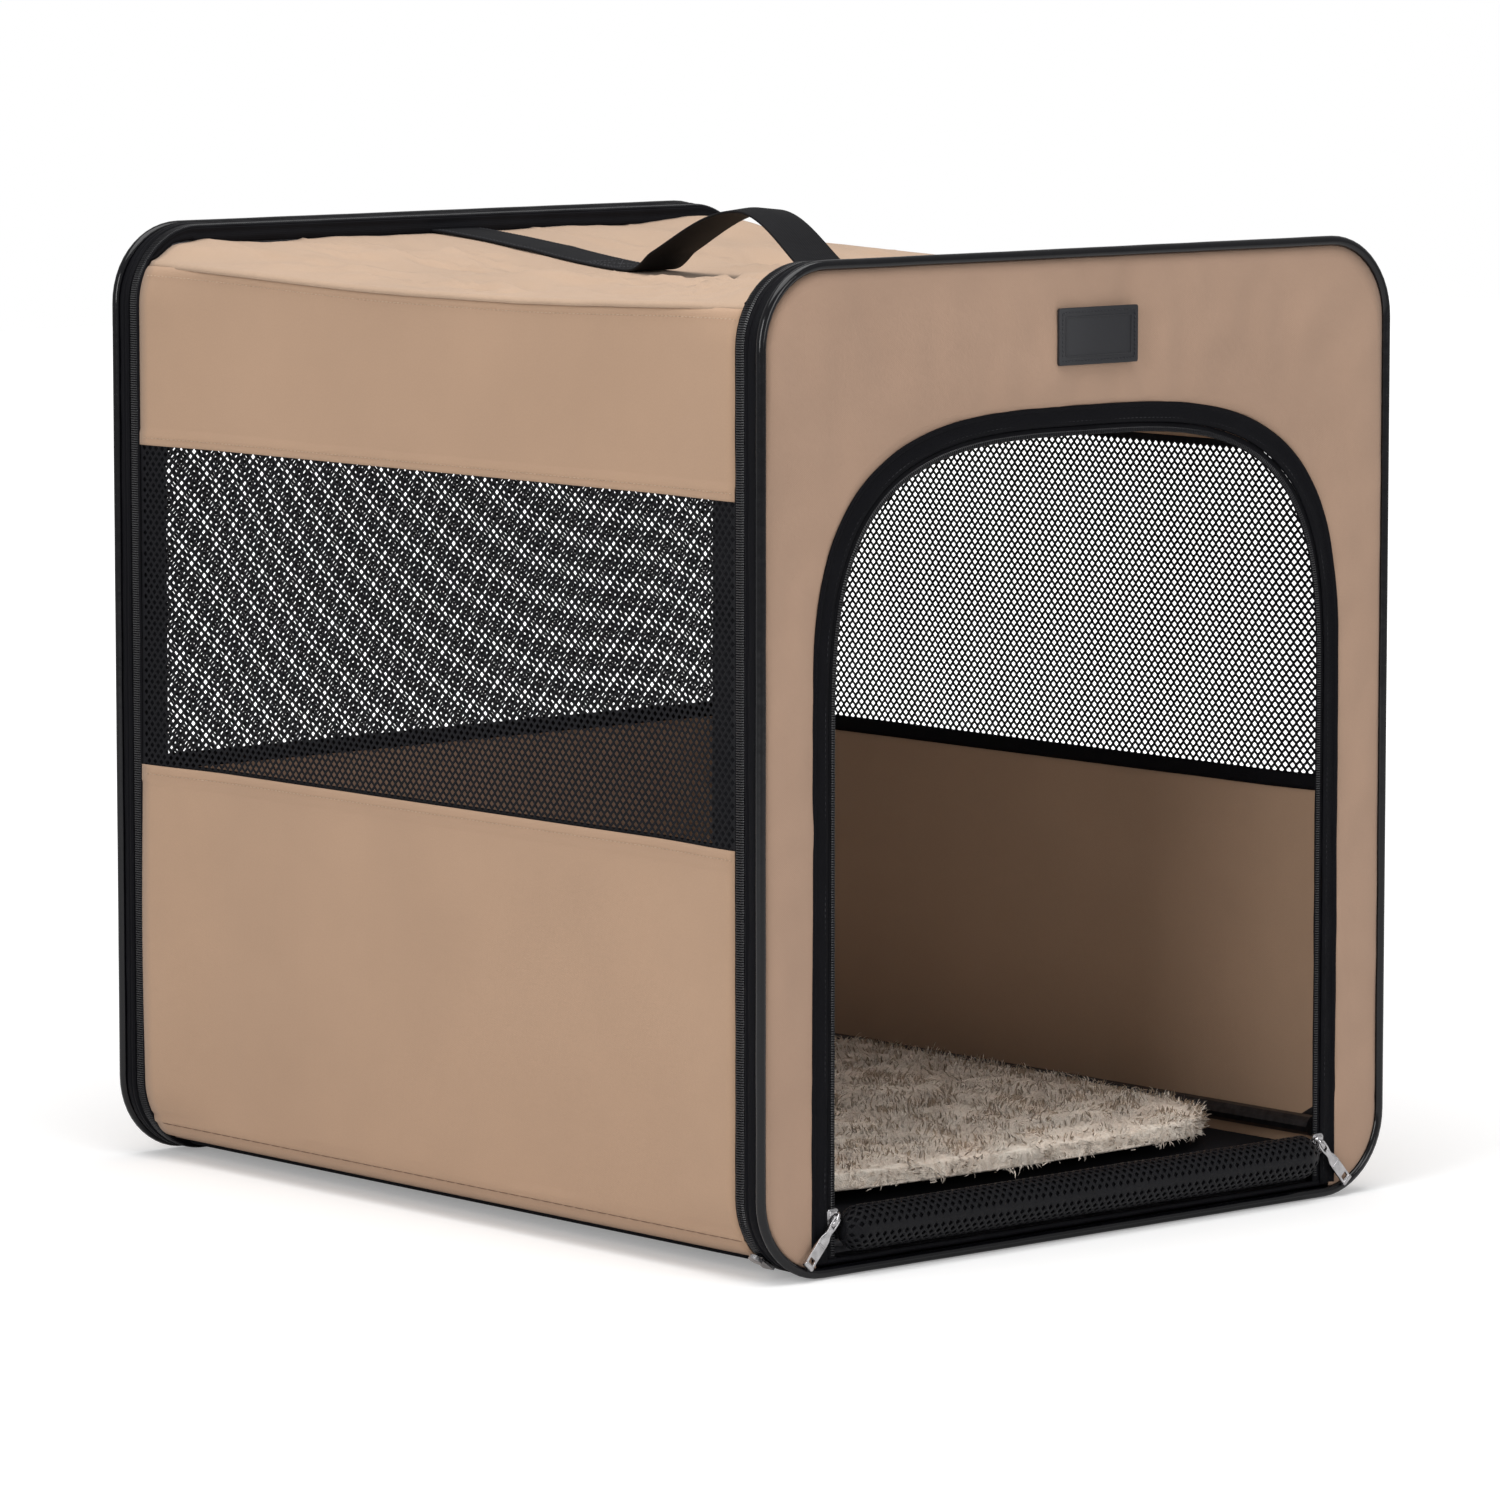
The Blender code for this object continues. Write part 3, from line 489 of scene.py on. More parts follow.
def zip_teeth(name, spots, material, length, pitch, proud):
    """Coil teeth: one small rounded bar at each spot, (centre, across, along, out)."""
    verts, faces, uvs = [], [], []
    section = ((-0.5, 0.0), (-0.34, 0.8), (0.0, 1.0), (0.34, 0.8), (0.5, 0.0))
    for centre, across, along, out in spots:
        start = len(verts)
        for end in (-0.5, -0.3, 0.3, 0.5):
            drop = 0.35 if abs(end) > 0.4 else 1.0
            for share, rise in section:
                point = centre + across * (end * length) + along * (share * pitch * 0.86)
                verts.append(point + out * (rise * proud * drop))
                uvs.append((end * length, share * pitch))
        for row in range(3):
            for n in range(4):
                a = start + row * 5 + n
                faces.append((a, a + 1, a + 6, a + 5))
        faces.append(tuple(start + n for n in (4, 3, 2, 1, 0)))
        faces.append(tuple(start + 15 + n for n in range(5)))
        faces.append((start, start + 5, start + 10, start + 15, start + 19, start + 14, start + 9, start + 4))
    return piece(name, verts, faces, uvs, material, smooth=False)


def thread_line(name, points, normal, material, pitch=0.0040, share=0.68, radius=0.00032):
    """A line of stitches along points that lie on a surface."""
    spots = resample(points, pitch)
    up = Vector(normal).normalized()
    verts, faces, uvs = [], [], []
    for a, b in zip(spots, spots[1:]):
        run = b - a
        if run.length < pitch * 0.4:
            continue
        run = run * share
        side = run.normalized().cross(up) * radius
        start = len(verts)
        high = up * radius * 1.4
        low = up * radius * 0.5
        ring_points = ((0.0, 0.0), (0.18, 0.8), (0.5, 1.0), (0.82, 0.8), (1.0, 0.0))
        for along, lift in ring_points:
            middle = a + run * along
            reach = side * (0.4 + 0.6 * lift)
            verts += [middle - reach - low, middle + high * lift, middle + reach - low]
            uvs += [(along, 0.0), (along, 0.5), (along, 1.0)]
        for row in range(4):
            for n in range(3):
                p, q = start + row * 3 + n, start + row * 3 + (n + 1) % 3
                faces.append((p, q, q + 3, p + 3))
        faces.append((start + 2, start + 1, start))
        faces.append((start + 12, start + 13, start + 14))
    return piece(name, verts, faces, uvs, material)


def resample(points, pitch):
    """Evenly spaced points along a polyline."""
    points = [Vector(p) for p in points]
    out, left = [points[0]], pitch
    for a, b in zip(points, points[1:]):
        span = (b - a).length
        travelled = 0.0
        while span - travelled >= left:
            travelled += left
            out.append(a + (b - a) * (travelled / span))
            left = pitch
        left -= span - travelled
    return out


def net(name, low, high, place, material, normal, step=NET_STEP, row=NET_ROW, hole=NET_HOLE):
    """A net of staggered six-sided holes between two corners in (u, v); place maps (u, v) to space."""
    columns = int(math.ceil((high[0] - low[0]) / step)) + 1
    rows = int(math.ceil((high[1] - low[1]) / row)) + 1
    half, third = step / 2, (row - (step / 2) ** 2 / row) / 2
    corner = ((0, row - third), (half, third), (half, -third),
              (0, third - row), (-half, -third), (-half, third))
    if third < 0:
        raise ValueError("the net's rows are too close for its steps")
    table, verts, uvs, faces = {}, [], [], []

    def index(u, v, sunk=False):
        u, v = min(max(u, low[0]), high[0]), min(max(v, low[1]), high[1])
        key = (round(u * 2e5), round(v * 2e5), sunk)
        if key not in table:
            table[key] = len(verts)
            point = Vector(place(u, v))
            if sunk:
                point -= normal * NET_RIDGE
            verts.append(point)
            uvs.append((u, v))
        return table[key]

    for r in range(rows + 1):
        for c in range(columns + 1):
            u = low[0] + step * (c + (0.5 if r % 2 else 0.0))
            v = low[1] + row * r
            cell = [(u + x, v + y) for x, y in corner]
            if all(low[0] <= x <= high[0] and low[1] <= y <= high[1] for x, y in cell):
                outer = [index(x, y) for x, y in cell]
                inner = [index(u + (x - u) * hole, v + (y - v) * hole, True) for x, y in cell]
                for n in range(6):
                    m = (n + 1) % 6
                    faces.append((outer[n], inner[n], inner[m], outer[m]))
            else:
                ids = []
                for x, y in clip(cell, low, high):
                    k = index(x, y)
                    if k not in ids:
                        ids.append(k)
                if len(ids) > 2:
                    faces.append(tuple(ids[::-1]))
    return piece(name, verts, faces, uvs, material)


def clip(polygon, low, high):
    """A polygon cut to a rectangle."""
    for axis, limit, sign in ((0, low[0], 1), (0, high[0], -1), (1, low[1], 1), (1, high[1], -1)):
        out = []
        for a, b in zip(polygon, polygon[1:] + polygon[:1]):
            da, db = sign * (a[axis] - limit), sign * (b[axis] - limit)
            if da >= 0:
                out.append(a)
            if (da > 0) != (db > 0) and abs(da - db) > 1e-12:
                s = da / (da - db)
                out.append((a[0] + (b[0] - a[0]) * s, a[1] + (b[1] - a[1]) * s))
        polygon = out
        if not polygon:
            return []
    return polygon


def ring_half(z, inset):
    """Half width of an end's outline at a height, at a distance inside it."""
    reach, radius = HALF_WIDTH - inset, CORNER - inset
    low, high = SOLE + CORNER, HEIGHT - CORNER
    over = z - high if z > high else low - z if z < low else 0.0
    return reach - radius + math.sqrt(max(radius ** 2 - over ** 2, 0.0)) if over > 0 else reach


def flare(y, start=0.200):
    """0 where the cabin is boxy, 1 at its ends, where the cloth turns out to meet the zips."""
    return smoothstep((abs(y) - start) / (CLOTH_END - start))


def wall_at(y, z):
    """Half width of the cabin's cloth."""
    out = ring_half(z, 0.0025) + (0.0022 * math.exp(-((z - 0.14) / 0.10) ** 2) if y > 0 else 0.0)
    return WALL + (out - WALL) * flare(y) if z >= WALL_BOTTOM else WALL


def seam_height(y):
    """The seam between a side and the top."""
    rear = 0.0060 * smoothstep((y - 0.02) / (CLOTH_END - 0.02))
    return WALL_TOP + rear + 0.0045 * smoothstep((-y - 0.06) / (CLOTH_END - 0.06))


def top_height(x, y):
    """The top cloth: it rises from its side seams and towards the zips, and hangs in soft folds between."""
    seam = seam_height(y)
    near = 1 - min(abs(x) / (WALL - 0.0032), 1.0)
    dome = smoothstep(near / (0.24 - 0.15 * flare(y)))
    rise = 0.0016 + 0.0085 * smoothstep((abs(y) - 0.085) / (CLOTH_END - 0.085)) * (1.0 if y > 0 else 0.85)
    corner = 0.0022 * math.exp(-((abs(x) - 0.195) / 0.03) ** 2) * flare(y, 0.15)
    middle = 1 - (abs(y) / CLOTH_END) ** 3
    sag = -0.0040 * math.exp(-(x / 0.12) ** 2) * max(middle, 0.0)
    folds = 0.0075 * smooth_noise(x * 1.5 + y * 0.5, y * 0.55 - x * 0.25, 1.7, 13.0)
    folds += 0.0042 * smooth_noise(x * 2.4 - y * 0.8, y * 0.9, 4.2, 21.0)
    folds += 0.0046 * math.exp(-((y + 0.225) / 0.05) ** 2) * smooth_noise(x * 2.2 + y, y * 0.4, 8.5, 24.0)
    line = smooth_noise(x * 3.0 + y * 0.9, y * 0.7 - x * 0.6, 6.3, 7.5)
    folds += 0.0044 * max(1 - abs(line) * 5.5, 0.0) ** 2
    line = smooth_noise(x * 1.2 + y * 1.6, y * 0.6 + x * 0.9, 2.6, 11.0)
    folds += 0.0042 * max(1 - abs(line) * 5.0, 0.0) ** 2 * smoothstep((-y - 0.11) / 0.06)
    folds *= 0.10 + 0.90 * smoothstep((abs(x) - 0.018) / 0.075)
    pucker = 0.0012 * math.exp(-((abs(x) - 0.222) / 0.016) ** 2) * smooth_noise(0.0, y, 9.0, 42.0)
    calm = min(1.0, 0.25 + max(middle, 0.0))
    return seam + (rise + corner + sag) * dome + (folds * min(1.0, near * 6) + pucker) * calm


def patch(name, across, along, place, material, thickness=CLOTH_THICKNESS):
    """A rectangular sheet of cloth: place maps two shares and gives a point, with UVs in metres."""
    verts, uvs = [], []
    for j in range(along + 1):
        for i in range(across + 1):
            point, uv = place(i / across, j / along)
            verts.append(point)
            uvs.append(uv)
    obj = piece(name, verts, grid_faces(across + 1, along + 1), uvs, material)
    return thicken(obj, thickness) if thickness else obj


# End covers
def build_cover(end):
    side = -1 if end == "front" else 1
    round_cord = circle_profile(PIPING_RADIUS, COVER_MIDDLE, PIPING_RADIUS, 14)
    cord = ring(f"{end}_piping_cord", end, round_cord, piping_vinyl, 0.00012)
    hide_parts(*both_halves("{end}_piping_{half}", end))
    across_joint(cord)

    band = [(0.0040, 0.2988), (0.0030, 0.2988), (0.0018, 0.2972), (0.0013, 0.2950), (0.0014, 0.2930),
            (0.0022, 0.2922), (0.0012, 0.2914), (0.0012, 0.2902), (0.0024, 0.2889), (0.0040, 0.2887)]
    gusset = ring(f"{end}_gusset_band", end, band, satin_tape, 0.0006)
    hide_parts(*both_halves("{end}_gusset_{half}", end))
    across_joint(gusset)

    tape = [(0.0040, 0.2885), (0.0030, 0.2885), (0.0026, 0.2876), (0.0031, 0.2866), (0.0031, 0.2828),
            (0.0026, 0.2820), (0.0022, 0.2808), (0.0030, 0.2800), (0.0040, 0.2803)]
    zipper = ring(f"{end}_zip_tape", end, tape, black_tape, 0.0003)
    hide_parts(*both_halves("{end}_zipper_{half}", end))
    across_joint(zipper)

    spots = []
    for x, z, dx, dz in outline(COIL_PITCH):
        out = Vector((dx, 0, dz))
        centre = Vector((x, side * 0.2845, z)) - out * 0.0029
        spots.append((centre, Vector((0, side, 0)), Vector((-dz, 0, dx)), out))
    teeth = zip_teeth(f"{end}_zip_coil", spots, coil_nylon, 0.0074, COIL_PITCH, 0.0014)
    across_joint(teeth)

    web = build_web(end)
    across_joint(web)


def build_web(end):
    """The soft black web from the zip in to the cabin's cloth, drawn into shallow folds."""
    side = -1 if end == "front" else 1
    high = top_height(0.0, side * CLOTH_END) - 0.0004
    low = WALL_BOTTOM - WALL_CURL + 0.0012
    verts, uvs = [], []
    path = outline(0.005)
    rows = 9
    for x, z, dx, dz in path:
        ox, oz = x - dx * 0.0036, z - dz * 0.0036
        reach = ring_half(min(max(z, low), 0.5585), 0.0025) - 0.0008
        ix = min(max(x, -reach), reach)
        cap = high if abs(x) < 0.205 else top_height(min(abs(x), 0.238), side * CLOTH_END) - 0.0004
        iz = min(max(z, low), cap)
        width = math.hypot(ox - ix, oz - iz)
        for n in range(rows + 1):
            s = n / rows
            px, pz = ox + (ix - ox) * s, oz + (iz - oz) * s
            drift = 3 * smooth_noise(px, 0.0, pz, 6.0)
            fold = 0.0012 * math.sin(s * math.pi * 2.0 + drift) * min(width / 0.02, 1.0)
            ripple = 0.0012 * smooth_noise(px, side, pz, 30.0) * min(width / 0.012, 1.0)
            verts.append((px, side * (0.2803 + (fold - abs(ripple)) * math.sin(math.pi * s)), pz))
            uvs.append((s * width, x + z))
    obj = piece(f"{end}_inner_web", verts, grid_faces(rows + 1, len(path), closed=True), uvs, black_tape)
    return thicken(obj, 0.0007, 0.0)


def arch(inset, low, steps=48):
    """The doorway from foot to foot, as points in x and z, at a distance inside its edge."""
    reach, crown = DOOR_HALF - inset, DOOR_TOP - inset - DOOR_SHOULDER
    right = []
    for n in range(steps + 1):
        turn = math.pi / 2 * n / steps
        share = 2 / DOOR_ROUND
        x = reach * math.cos(turn) ** share if n < steps else 0.0
        right.append((x, DOOR_SHOULDER + crown * math.sin(turn) ** share))
    leg = [(reach, low + (DOOR_SHOULDER - low) * n / 40) for n in range(40)]
    right = leg + right
    return [(-x, z) for x, z in right[:-1]] + right[::-1]


def spread(points, count):
    """A polyline of count points, evenly spaced along another."""
    points = [Vector((p[0], p[1])) for p in points]
    lengths = [0.0]
    for a, b in zip(points, points[1:]):
        lengths.append(lengths[-1] + (b - a).length)
    out, k = [], 0
    for n in range(count):
        want = lengths[-1] * n / (count - 1)
        while k < len(points) - 2 and lengths[k + 1] < want:
            k += 1
        span = lengths[k + 1] - lengths[k]
        share = 0.0 if span == 0 else (want - lengths[k]) / span
        out.append(points[k] + (points[k + 1] - points[k]) * share)
    return out


def cover_puff(x, z, share, wide, end):
    """How far the cover's cloth stands out: crowned between its seams, with soft creases."""
    crown = (1 - (2 * share - 1) ** 4) * min(0.0022, wide * 0.035)
    crease = 0.0044 * smooth_noise(x, 7.0 if end == "front" else 3.0, z, 12.5)
    crease += 0.0019 * smooth_noise(x * 1.6 + z, 2.0, z - x, 27.0)
    line = smooth_noise(x + 0.4 * z, 5.0, 0.6 * z - 0.5 * x, 11.0)
    crease += 0.0009 * max(1 - abs(line) * 4.5, 0.0) ** 2
    return crown + crease * min(wide / 0.06, 1.0) * math.sin(math.pi * share) ** 0.5


def panel_front(x, z):
    """How far out the front cloth's face is, above the doorway."""
    low, high = DOOR_TOP - 0.003, HEIGHT - COVER_SEAM
    return COVER_FACE - 0.0001 + cover_puff(x, z, (z - low) / (high - low), high - low, "front")


def front_panel():
    """The tan front: one cloth between the doorway and the piping."""
    low = SOLE + 0.0063
    reach, radius = HALF_WIDTH - COVER_SEAM, CORNER - COVER_SEAM
    cx, cz, tz = HALF_WIDTH - CORNER, SOLE + CORNER, HEIGHT - CORNER

    def bend(start, centre_z, count=24):
        turns = [math.radians(start + 90 * n / count) for n in range(count + 1)]
        return [(cx + radius * math.cos(turn), centre_z + radius * math.sin(turn)) for turn in turns]

    foot = [(DOOR_HALF - 0.003, low)] + bend(-90, cz) if DOOR_HALF - 0.003 < cx else bend(-80, cz)
    side_up = [(reach, cz + (DOOR_SHOULDER - cz) * n / 30) for n in range(1, 31)]
    outer_leg = foot + side_up
    inner_leg = [(DOOR_HALF - 0.003, low + (DOOR_SHOULDER - low) * n / 40) for n in range(41)]
    outer_top = [(reach, DOOR_SHOULDER + (tz - DOOR_SHOULDER) * n / 24) for n in range(25)] + bend(0, tz)[1:]
    outer_top += [(cx - 2 * cx * n / 40, HEIGHT - COVER_SEAM) for n in range(1, 21)]
    inner_top = [p for p in arch(0.003, DOOR_SHOULDER - 0.0001) if p[0] >= -1e-9][::-1]
    inner_top = [p for p in inner_top if p[1] >= DOOR_SHOULDER - 1e-6]
    legs, tops, rows = 60, 110, 12
    inner = spread(inner_leg, legs)[:-1] + spread(inner_top, tops)
    outer = spread(outer_leg, legs)[:-1] + spread(outer_top, tops)
    inner += [Vector((-p.x, p.y)) for p in inner[-2::-1]]
    outer += [Vector((-p.x, p.y)) for p in outer[-2::-1]]
    verts, uvs = [], []
    for a, b in zip(inner, outer):
        wide = (b - a).length
        for n in range(rows + 1):
            s = n / rows
            p = a + (b - a) * s
            verts.append((p.x, -(COVER_FACE - 0.0009 + cover_puff(p.x, p.y, s, wide, "front")), p.y))
            uvs.append((p.x, p.y))
    obj = piece("front_cover_cloth", verts, grid_faces(rows + 1, len(inner)), uvs, tan_cover_painted_shade)
    edit_mesh(obj, lambda shape: bmesh.ops.dissolve_degenerate(shape, dist=0.00001, edges=shape.edges))
    thicken(obj, CLOTH_THICKNESS, 1.0)
    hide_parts("front_panel_lower", "front_panel_upper")
    across_joint(obj)


def ribbon(name, inner, outer, profile, material):
    """A tape between two matched lines in the front's plane. profile gives (share across, y outwards)."""
    verts, uvs = [], []
    travel = 0.0
    for n, (a, b) in enumerate(zip(inner, outer)):
        if n:
            travel += (inner[n] - inner[n - 1]).length
        for share, out in profile:
            p = a + (b - a) * share
            wave = 0.0004 * smooth_noise(p.x, share, p.y, 45.0)
            verts.append((p.x, -(out + wave), p.y))
            uvs.append((share * (b - a).length, travel))
    wide = len(profile)
    faces = []
    for row in range(len(inner) - 1):
        for n in range(wide):
            m = (n + 1) % wide
            faces.append((row * wide + n, (row + 1) * wide + n, (row + 1) * wide + m, row * wide + m))
    faces.append(tuple(range(wide)))
    faces.append(tuple((len(inner) - 1) * wide + n for n in reversed(range(wide))))
    obj = piece(name, verts, faces, uvs, material)
    close_seam(obj)
    return obj


def doorway():
    """Binding round the doorway, its rolled outer edge, the zip's tape and its teeth."""
    count = 220
    low = DOOR_SILL
    insets = (-0.0006, BINDING * 0.97, BINDING + 0.0052)
    edge, fold, tape = (spread(arch(inset, low), count) for inset in insets)
    section = [(0.0, 0.3022), (0.02, 0.3031), (0.10, 0.3036), (0.19, 0.3032), (0.27, 0.3024), (0.5, 0.3029),
               (0.78, 0.3033), (0.95, 0.3030), (1.0, 0.3021), (0.95, 0.3008), (0.5, 0.3004), (0.05, 0.3008)]
    binding = ribbon("doorway_binding", fold, edge, [(1 - s, y) for s, y in section][::-1], satin_tape)
    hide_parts("door_binding_lower", "door_binding_upper")
    across_joint(binding)

    flat = [(0.0, 0.3012), (0.0, 0.3019), (1.0, 0.3019), (1.0, 0.3012)]
    strip = ribbon("doorway_zip_tape", tape, fold, flat[::-1], black_tape)
    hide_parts("door_zipper_left", "door_zipper_right", "door_zipper_arch")
    across_joint(strip)

    middle = arch(BINDING + 0.0036, low + 0.004)
    line = resample([(x, -0.3019, z) for x, z in middle], COIL_PITCH)
    spots = []
    for a, b in zip(line, line[1:]):
        along = (b - a).normalized()
        spots.append((a, along.cross(Vector((0, -1, 0))), along, Vector((0, -1, 0))))
    teeth = zip_teeth("doorway_zip_teeth", spots, coil_nylon, 0.0030, COIL_PITCH, 0.0012)
    across_joint(teeth)

    seam = [(x, -0.3030, z) for x, z in arch(BINDING * 0.74, low + 0.006)]
    stitches = thread_line("doorway_stitching", seam, (0, -1, 0), black_thread, 0.0034)
    across_joint(stitches)

    sill = []
    for n in range(2):
        z = DOOR_SILL - 0.0014 + 0.0034 * n
        sill.append([Vector((-DOOR_HALF + 0.004 + (2 * DOOR_HALF - 0.008) * k / 80, z)) for k in range(81)])
    crowned = [(0.0, 0.3004), (0.0, 0.3018), (0.4, 0.3024), (1.0, 0.3018), (1.0, 0.3004)]
    hem = ribbon("doorway_sill_tape", sill[1], sill[0], crowned[::-1], satin_tape)
    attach(hem, "front_lower")


def label():
    """The bare patch above the doorway, with its border of stitches."""
    low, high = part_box("label_patch")
    cx, cz = (low[0] + high[0]) / 2, (low[2] + high[2]) / 2
    wide, tall = (high[0] - low[0]) / 2, (high[2] - low[2]) / 2
    spots = [(x, z) for x in (low[0], cx, high[0]) for z in (low[2], cz, high[2])]
    face = -max(panel_front(x, z) for x, z in spots) - 0.0019
    plate = filled("plate", [rounded(-wide, -tall, wide, tall, 0.0014)], 0.0020, 0.0004)
    plate.transform(Matrix.Translation((cx, face + 0.0011, cz)))
    inside = (-wide + 0.0050, -tall + 0.0050, wide - 0.0050, tall - 0.0050)
    hollow = [v + (0.0008 if v < 0 else -0.0008) for v in inside]
    welt = filled("welt", [rounded(*inside, 0.0012), rounded(*hollow, 0.0008)], 0.0009, 0.0002)
    welt.transform(Matrix.Translation((cx, face + 0.0002, cz)))
    cast_piece("bare_label", [plate, welt], patch_leather, "label_patch", "front_upper")
    x, z, y = wide - 0.0026, tall - 0.0026, face - 0.0001
    signs = ((-1, -1), (1, -1), (1, 1), (-1, 1), (-1, -1))
    loop = [(cx + a * x, y, cz + b * z) for a, b in signs]
    stitches = thread_line("label_stitching", loop, (0, -1, 0), black_thread, 0.0026, 0.66, 0.00026)
    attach(stitches, "front_upper")


def rear_cover():
    """Tan cloth above and below the rear window, the window's net, and its seams."""
    reach, radius = HALF_WIDTH - COVER_SEAM, CORNER - COVER_SEAM
    low, high = SOLE + COVER_SEAM, HEIGHT - COVER_SEAM

    def half_width_at(z):
        for centre, sign in ((SOLE + CORNER, -1), (HEIGHT - CORNER, 1)):
            if (z - centre) * sign > 0:
                return HALF_WIDTH - CORNER + math.sqrt(max(radius ** 2 - (z - centre) ** 2, 0.0))
        return reach

    def cloth_band(name, bottom, top, rows, node, body, curved):
        def place(s, t):
            t = (math.sin((t - 0.5) * math.pi) + 1) / 2 if curved else t
            z = bottom + (top - bottom) * t
            x = (2 * s - 1) * half_width_at(z)
            aside = abs(s - 0.5)
            share = 0.5 + 0.5 * (2 * aside) ** 3 if aside > 0.3 else 0.5
            puff = cover_puff(x, z, share, top - bottom, "rear")
            puff *= math.sin(math.pi * t) ** 0.4 if 0 < t < 1 else 0.0
            return (x, COVER_FACE - 0.0006 + puff, z), (x, z)
        obj = patch(name, 60, rows, place, tan_cover_painted_shade, 0.0)
        edit_mesh(obj, lambda shape: bmesh.ops.reverse_faces(shape, faces=shape.faces))
        thicken(obj, CLOTH_THICKNESS)
        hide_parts(node)
        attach(obj, body)

    cloth_band("rear_cloth_lower", low, WINDOW_BOTTOM, 34, "rear_panel_lower", "rear_lower", True)
    cloth_band("rear_cloth_upper", WINDOW_TOP, high, 24, "rear_panel_upper", "rear_upper", True)

    def place(v, u):
        return (u, COVER_FACE - 0.0008 + 0.0012 * smooth_noise(u, 4.0, v, 7.0), v)
    window = net("rear_window_net", (WINDOW_BOTTOM - 0.003, -reach), (WINDOW_TOP + 0.003, reach), place,
                 net_thread, Vector((0, 1, 0)), REAR_NET_STEP, REAR_NET_ROW)
    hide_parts("rear_window_lower", "rear_window_upper")
    across_joint(window)

    for name, z in (("lower", WINDOW_BOTTOM - 0.004), ("upper", WINDOW_TOP + 0.004)):
        line = [(-reach + 0.004 + (2 * reach - 0.008) * n / 60, COVER_FACE + 0.0004, z) for n in range(61)]
        stitches = thread_line(f"rear_window_stitching_{name}", line, (0, 1, 0), tan_thread)
        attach(stitches, f"rear_{name}")
    ends = [(x, COVER_FACE - 0.0022, WINDOW_BOTTOM) for x in (-reach + 0.001, reach - 0.001)]
    tape = inner_tape("rear_window_tape", ends, (0, -1, 0))
    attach(tape, "rear_lower")


def inner_tape(name, ends, normal, follow=None):
    """The black tape sewn over the lower edge of a window, on the cabin's side."""
    width, up = 0.010, 0.002
    a, b = Vector(ends[0]), Vector(ends[1])
    out = Vector(normal)
    run = b - a

    def place(s, t):
        p = a + run * s
        z = p.z + up - width * t
        lift = 0.0005 * math.sin(math.pi * t) + 0.0003 * smooth_noise(p.x, p.y, z, 60.0)
        q = Vector((p.x, p.y, z)) + out * lift
        if follow:
            q.x += follow(p.y, z)
        return tuple(q), (width * t, run.length * s)
    obj = patch(name, 80, 4, place, satin_tape, 0.0005)
    return obj


def crumple(obj):
    """Hangs a piece of a side on the base body, with a mesh of its own."""
    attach(obj, "base")
    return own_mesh(obj)


def side_bulge(y, z, sign):
    """Soft unevenness of a stretched wall, outwards, none at its sewn ends."""
    hold = 1 - (abs(y) / CLOTH_END) ** 6
    broad = 0.0012 * smooth_noise(sign * 3.0, y, z, 6.0)
    return (broad + 0.0005 * smooth_noise(sign * 5.0, y * 1.3, z, 19.0)) * hold


